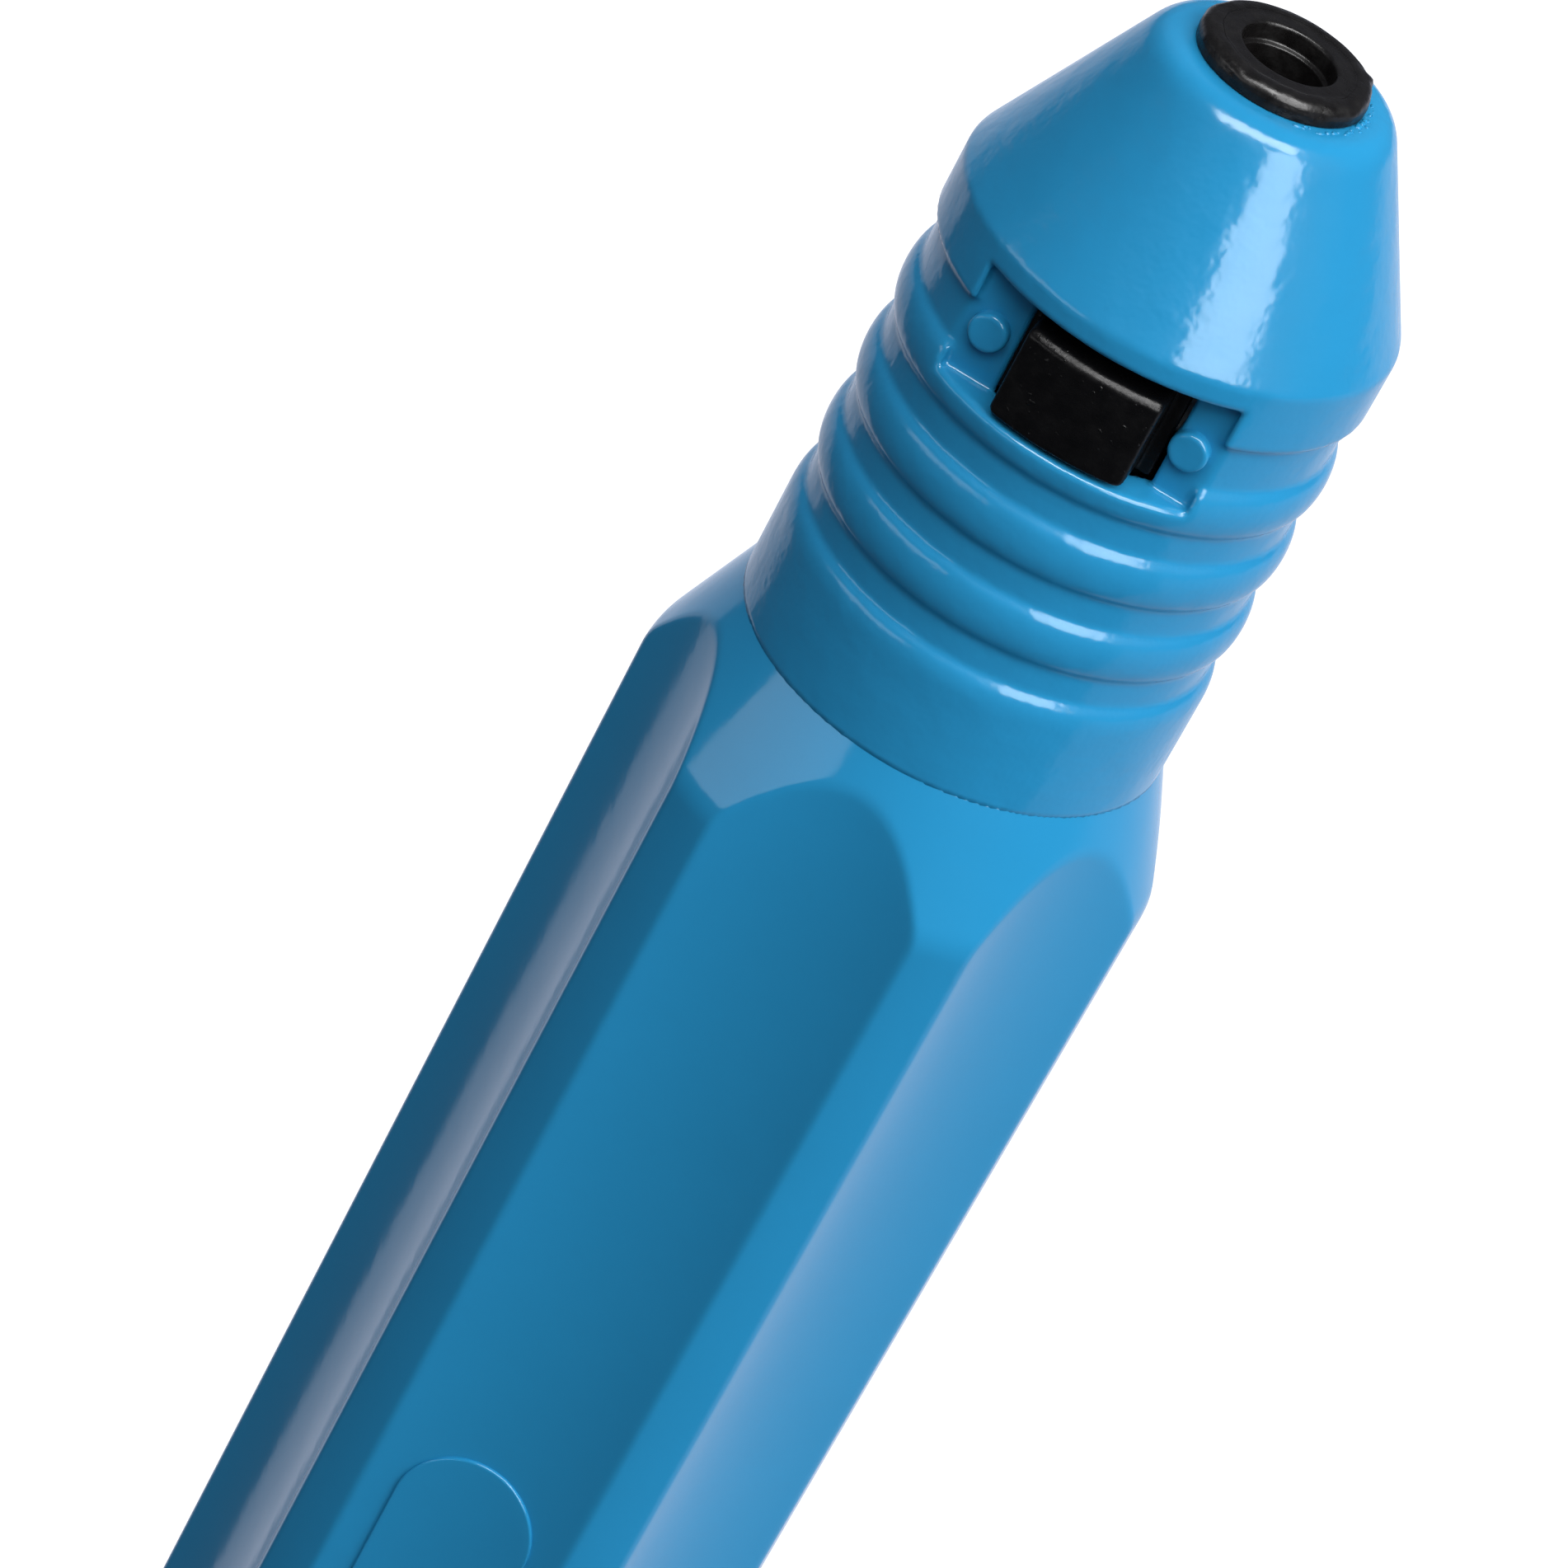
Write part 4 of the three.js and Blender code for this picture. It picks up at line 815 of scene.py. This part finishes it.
CAP_SCALLOPS = 24
CAP_SCALLOP_DEPTH = 0.45
CAP_SPIGOT_RADIUS = SPIGOT_RADIUS  # both spigots go into the grip's bore
CAP_CUP_RADIUS = 10.9
CAP_CUP_FLOOR_Z = 12
CAP_FOOT_RADIUS = 13.3
CAP_FOOT_RISE = 1.6
CAP_RECESS_RADIUS = 9.6
CAP_RECESS_DEPTH = 0.6


def build_end_cap():
    """The cap with shallow finger scallops round it."""
    outer = CAP_HIGH[0]
    top = GRIP_LOW[2] - 0.1
    side = [(outer, z, 0) for z in np.linspace(2.2, top - 0.6, 22)]
    corners = [
        (0, CAP_RECESS_DEPTH, 0),
        (CAP_RECESS_RADIUS, CAP_RECESS_DEPTH, 0.3),
        (CAP_RECESS_RADIUS + CAP_RECESS_DEPTH, 0, 0.3),
        (CAP_FOOT_RADIUS, 0, 0.9),
        (outer, CAP_FOOT_RISE, 0.9),
        *side,
        (outer, top, 0.35),
        (CAP_SPIGOT_RADIUS, top, 0),
        (CAP_SPIGOT_RADIUS, CAP_HIGH[2], 0.3),
        (CAP_CUP_RADIUS, CAP_HIGH[2], 0.3),
        (CAP_CUP_RADIUS, CAP_CUP_FLOOR_Z, 0.2),
        (0, CAP_CUP_FLOOR_Z, 0),
    ]

    def scalloped(grid):
        """Presses grooves into the cap's side that fade out above its foot and below its upper rim."""
        x, y, z = np.moveaxis(grid, -1, 0)
        angle = np.arctan2(y, x)
        r = np.hypot(x, y)
        window = smooth_step(2.6, 4.2, z) * (1 - smooth_step(top - 3.2, top - 1.6, z)) * (r > outer - 0.5)
        groove = np.clip(np.cos(CAP_SCALLOPS * angle) - 0.1, 0, 1)
        scale = 1 - CAP_SCALLOP_DEPTH * groove * window / outer
        return np.stack([x * scale, y * scale, z], -1)

    piece = turned_piece("end_cap_shell", corners, MATERIALS["blue_plastic"], 384, scalloped)
    return finish_piece(piece, "cap", "blue_plastic", "end_cap")


# ---- springs ----

def coil_mesh(low_radius, high_radius, length, turns, wire):
    """Points and faces of a coil spring up the Z axis from 0, with a flat half turn at each end.
    wire is the wire's own radius."""
    sides = 8
    steps_per_turn = 28
    share = np.linspace(0, 1, steps_per_turn * turns + 1)[:, None]
    turn = share * turns * TAU
    around = np.arange(sides) / sides * TAU
    flat = 0.5 / turns
    climb = smooth_step(flat, 1 - flat, share) * (length - 2 * wire) + wire
    reach = low_radius + (high_radius - low_radius) * share + wire * np.cos(around)
    grid = np.stack([reach * np.cos(turn), reach * np.sin(turn), climb + wire * np.sin(around)], -1)
    low_end = np.arange(sides)
    high_end = low_end[::-1] + (len(grid) - 1) * sides
    return grid.reshape(-1, 3), [*grid_faces(len(grid), sides, False), low_end, high_end]


def build_spool_spring():
    """The spring behind the valve's spool. The real spring shortens as the key goes in; this coil keeps its
    length.
    """
    low, high = box_mm("spool_spring")
    wire = 0.18
    middle = (low + high) / 2
    radius = (high[0] - low[0]) / 2 - wire
    length = high[1] - low[1]
    points, faces = coil_mesh(radius, radius, length, 5, wire)
    turned = points @ np.array(Matrix.Rotation(-math.pi / 2, 3, "X")).T
    place = (middle[0], low[1], middle[2])
    piece = make_piece("spool_spring_coil", turned + place, faces, MATERIALS["steel"])
    finish_piece(piece, "main", "steel", "spool_spring")
    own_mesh(piece)


def build_battery_springs():
    """The tapering coils that press the cells against the upper contacts."""
    wire = 0.35
    taper = 0.7
    for number in (1, 2, 3):
        name = f"battery_spring_{number}"
        low, high = box_mm(name)
        middle = (low + high) / 2
        radius = (high[0] - low[0]) / 2 - wire
        points, faces = coil_mesh(radius, radius * taper, high[2] - low[2], 3, wire)
        place = (middle[0], middle[1], low[2])
        piece = make_piece(name + "_coil", points + place, faces, MATERIALS["steel"])
        finish_piece(piece, "contact_carrier", "steel", name)


# ---- CAD nodes that stay ----

CAD_BEVEL = 0.08


def dress_cad_nodes():
    """Every CAD node that still shows takes its slot's material and a small bevel."""
    slots = {row["node"]: row["material_slot"] for row in frame["record"]["subparts"]}
    for name, node in frame["nodes"].items():
        if node.hide_render:
            continue
        node.data.materials.clear()
        node.data.materials.append(MATERIALS[slots[name]])
        node.data.shade_smooth()
        edge = node.modifiers.new("edges", "BEVEL")
        edge.width = CAD_BEVEL * MM
        edge.segments = 2
        edge.limit_method = "ANGLE"
        edge.angle_limit = math.radians(35)
        edge.harden_normals = True


build_grip()
build_pad()
build_nose()
build_flash()
build_key_pins()
build_key()
build_socket()
build_end_cap()
build_spool_spring()
build_battery_springs()
dress_cad_nodes()


# ---- camera ----

AXIS_LEAN = math.radians(32.6)  # how far the nose leans towards the camera
AXIS_SKEW = 0.007  # how far the direction across the axis slopes down to the right
FRONT_TURN = math.radians(4.9)  # how far the key's side is turned to the left
ROLL = math.radians(28.8025)  # how far the picture is turned round its middle
AIM_DROP = 60.1  # from the tip down to the point on the axis level with the middle of the picture
AIM_SIDE = 5.67  # how far that point lies to the right of the picture's middle, across the axis
CAMERA_DISTANCE = 432.8
LENS = 160.9
SENSOR_WIDTH = 36


def add_camera():
    """The photo's view. Returns the level directions towards the camera and to its right."""
    up = Vector((0, 0, 1))
    facing = Vector((math.sin(FRONT_TURN), -math.cos(FRONT_TURN), 0))
    side = Vector((math.cos(FRONT_TURN), math.sin(FRONT_TURN), 0))
    across = (side - AXIS_SKEW * up).normalized()
    towards = up * math.sin(AXIS_LEAN) + facing * math.cos(AXIS_LEAN)
    towards = (towards - towards.dot(across) * across).normalized()
    along = towards.cross(across)
    right = math.cos(ROLL) * across + math.sin(ROLL) * along
    top = math.cos(ROLL) * along - math.sin(ROLL) * across
    aim = Vector((0, 0, TIP_Z - AIM_DROP))
    place = (aim - AIM_SIDE * across + CAMERA_DISTANCE * towards) * MM
    turn = Matrix((right, top, towards)).transposed().to_4x4()
    data = bpy.data.cameras.new("camera")
    data.lens = LENS
    data.sensor_width = SENSOR_WIDTH
    data.clip_start = 0.01
    data.clip_end = 50
    camera = add_object("camera", data)
    camera.matrix_world = Matrix.Translation(place) @ turn
    bpy.context.scene.camera = camera
    return facing, side


FACING, SIDE = add_camera()


# ---- floor and light, in metres ----

FLOOR_HALF_SIZE = 20
FLOOR_DROP = 0.032  # below the object's foot, which leaves room to pull the end cap off


def add_floor():
    """A pale floor that only the camera sees. The object mirrors the world's lower half in its place."""
    mesh = bpy.data.meshes.new("floor")
    corners = [
        (x * FLOOR_HALF_SIZE, y * FLOOR_HALF_SIZE, -FLOOR_DROP)
        for x, y in ((-1, -1), (1, -1), (1, 1), (-1, 1))
    ]
    mesh.from_pydata(corners, [], [(0, 1, 2, 3)])
    material = new_material("floor paper", (0.92, 0.92, 0.92), 0.9, specular=0.1)
    n = Nodes(material)
    n.set_color(n.blend(n.noise(30, 3), (0.915, 0.915, 0.915), (0.925, 0.925, 0.925)))
    mesh.materials.append(material)
    floor = add_object("floor", mesh)
    floor.visible_diffuse = False
    floor.visible_glossy = False
    floor.visible_shadow = False
    return floor


def studio_direction(azimuth, elevation):
    """A direction from the object. Azimuth is in degrees to the right of the way to the camera."""
    a = math.radians(azimuth)
    e = math.radians(elevation)
    return (SIDE * math.sin(a) + FACING * math.cos(a)) * math.cos(e) + Vector((0, 0, math.sin(e)))


def place_light(data, name, location, towards):
    """A light at a place, turned towards another, that the camera doesn't see."""
    light = add_object(name, data)
    light.location = location
    light.rotation_mode = "QUATERNION"
    light.rotation_quaternion = (location - towards).to_track_quat("Z", "Y")
    light.visible_camera = False
    return light


LIGHT_AIM = Vector((0, 0, 0.15))


def add_softbox(name, azimuth, elevation, distance, width, height, radiance):
    """A rectangular light that faces the object."""
    data = bpy.data.lights.new(name, "AREA")
    data.shape = "RECTANGLE"
    data.size = width
    data.size_y = height
    data.energy = radiance * math.pi * width * height
    place = LIGHT_AIM + studio_direction(azimuth, elevation) * distance
    return place_light(data, name, place, LIGHT_AIM)


def link_light(light, state):
    """INCLUDE lets the light reach the floor alone, and EXCLUDE lets it reach everything else."""
    group = bpy.data.collections.new(light.name + " and floor")
    group.objects.link(FLOOR)
    group.collection_objects[0].light_linking.link_state = state
    light.light_linking.receiver_collection = group


FLOOR_RADIANCE = 1.15
FLOOR_LIGHT_ANGLE = math.radians(120)


def add_floor_light():
    """A wide sun straight overhead, for the floor alone, which leaves a soft shadow round the object."""
    data = bpy.data.lights.new("floor light", "SUN")
    data.angle = FLOOR_LIGHT_ANGLE
    data.energy = FLOOR_RADIANCE * math.pi
    link_light(place_light(data, "floor light", Vector((0, 0, 2)), Vector((0, 0, 0))), "INCLUDE")


LAVENDER = (0.9, 0.95, 1.12, 1)
SKY = 0.15
LOW_FRONT = 0.12
LOW_BACK = 0.85
LOW_BACK_AZIMUTH = 153  # the middle of the bright side of the lower half
LOW_EDGE = 0.07, 0.11  # where the dark side turns bright, as cosines of the angle to that middle
HORIZON = -0.08, 0.02  # where the lower half turns to sky, as sines of the elevation


def add_world():
    """A dim sky over a lower half that is dark in front and at the left, and bright at the back and right.
    The camera itself sees white."""
    world = bpy.data.worlds.new("studio")
    world.use_nodes = True
    tree = world.node_tree
    light = tree.nodes["Background"]
    light.inputs["Color"].default_value = LAVENDER
    white = tree.nodes.new("ShaderNodeBackground")
    white.inputs["Color"].default_value = (1, 1, 1, 1)
    choice = tree.nodes.new("ShaderNodeMixShader")
    path = tree.nodes.new("ShaderNodeLightPath")
    way = tree.nodes.new("ShaderNodeTexCoord").outputs["Generated"]
    back = tree.nodes.new("ShaderNodeVectorMath")
    back.operation = "DOT_PRODUCT"
    back.inputs[1].default_value = studio_direction(LOW_BACK_AZIMUTH, 0)
    split = tree.nodes.new("ShaderNodeSeparateXYZ")
    low = tree.nodes.new("ShaderNodeMapRange")
    whole = tree.nodes.new("ShaderNodeMapRange")
    for node, (start, end) in ((low, LOW_EDGE), (whole, HORIZON)):
        node.interpolation_type = "SMOOTHSTEP"
        node.inputs["From Min"].default_value = start
        node.inputs["From Max"].default_value = end
    low.inputs["To Min"].default_value = LOW_FRONT
    low.inputs["To Max"].default_value = LOW_BACK
    whole.inputs["To Max"].default_value = SKY
    for output, target in (
        (way, back.inputs[0]),
        (way, split.inputs["Vector"]),
        (back.outputs["Value"], low.inputs["Value"]),
        (split.outputs["Z"], whole.inputs["Value"]),
        (low.outputs["Result"], whole.inputs["To Min"]),
        (whole.outputs["Result"], light.inputs["Strength"]),
        (path.outputs["Is Camera Ray"], choice.inputs[0]),
        (light.outputs["Background"], choice.inputs[1]),
        (white.outputs["Background"], choice.inputs[2]),
        (choice.outputs["Shader"], tree.nodes["World Output"].inputs["Surface"]),
    ):
        tree.links.new(output, target)
    bpy.context.scene.world = world


SOFT_LIGHTS = (  # name, azimuth, elevation, radiance: they light the object but don't show in its gloss
    ("side light", 70, 36, 4.8),
    ("front light", 0, 57, 4.2),
    ("back light", 190, 35, 3.2),
)
SOFT_LIGHT_DISTANCE = 1.3
SOFT_LIGHT_SIZE = 1.2, 1.0
CARDS = (  # name, azimuth, elevation, distance, width, height, radiance: they show in its gloss alone
    ("left card", -50, 9, 0.8, 0.75, 0.2, 3.6),
    ("strip light", 39.5, 33, 0.8, 0.43, 0.42, 18),
    ("top card", 14, 66, 0.9, 0.9, 0.35, 26),
)


def add_studio_lights():
    for name, azimuth, elevation, radiance in SOFT_LIGHTS:
        light = add_softbox(name, azimuth, elevation, SOFT_LIGHT_DISTANCE, *SOFT_LIGHT_SIZE, radiance)
        light.visible_glossy = False
        link_light(light, "EXCLUDE")
    for card_values in CARDS:
        card = add_softbox(*card_values)
        card.visible_diffuse = False
        link_light(card, "EXCLUDE")


FLOOR = add_floor()
add_world()
add_floor_light()
add_studio_lights()
bpy.context.scene.view_settings.view_transform = "Standard"
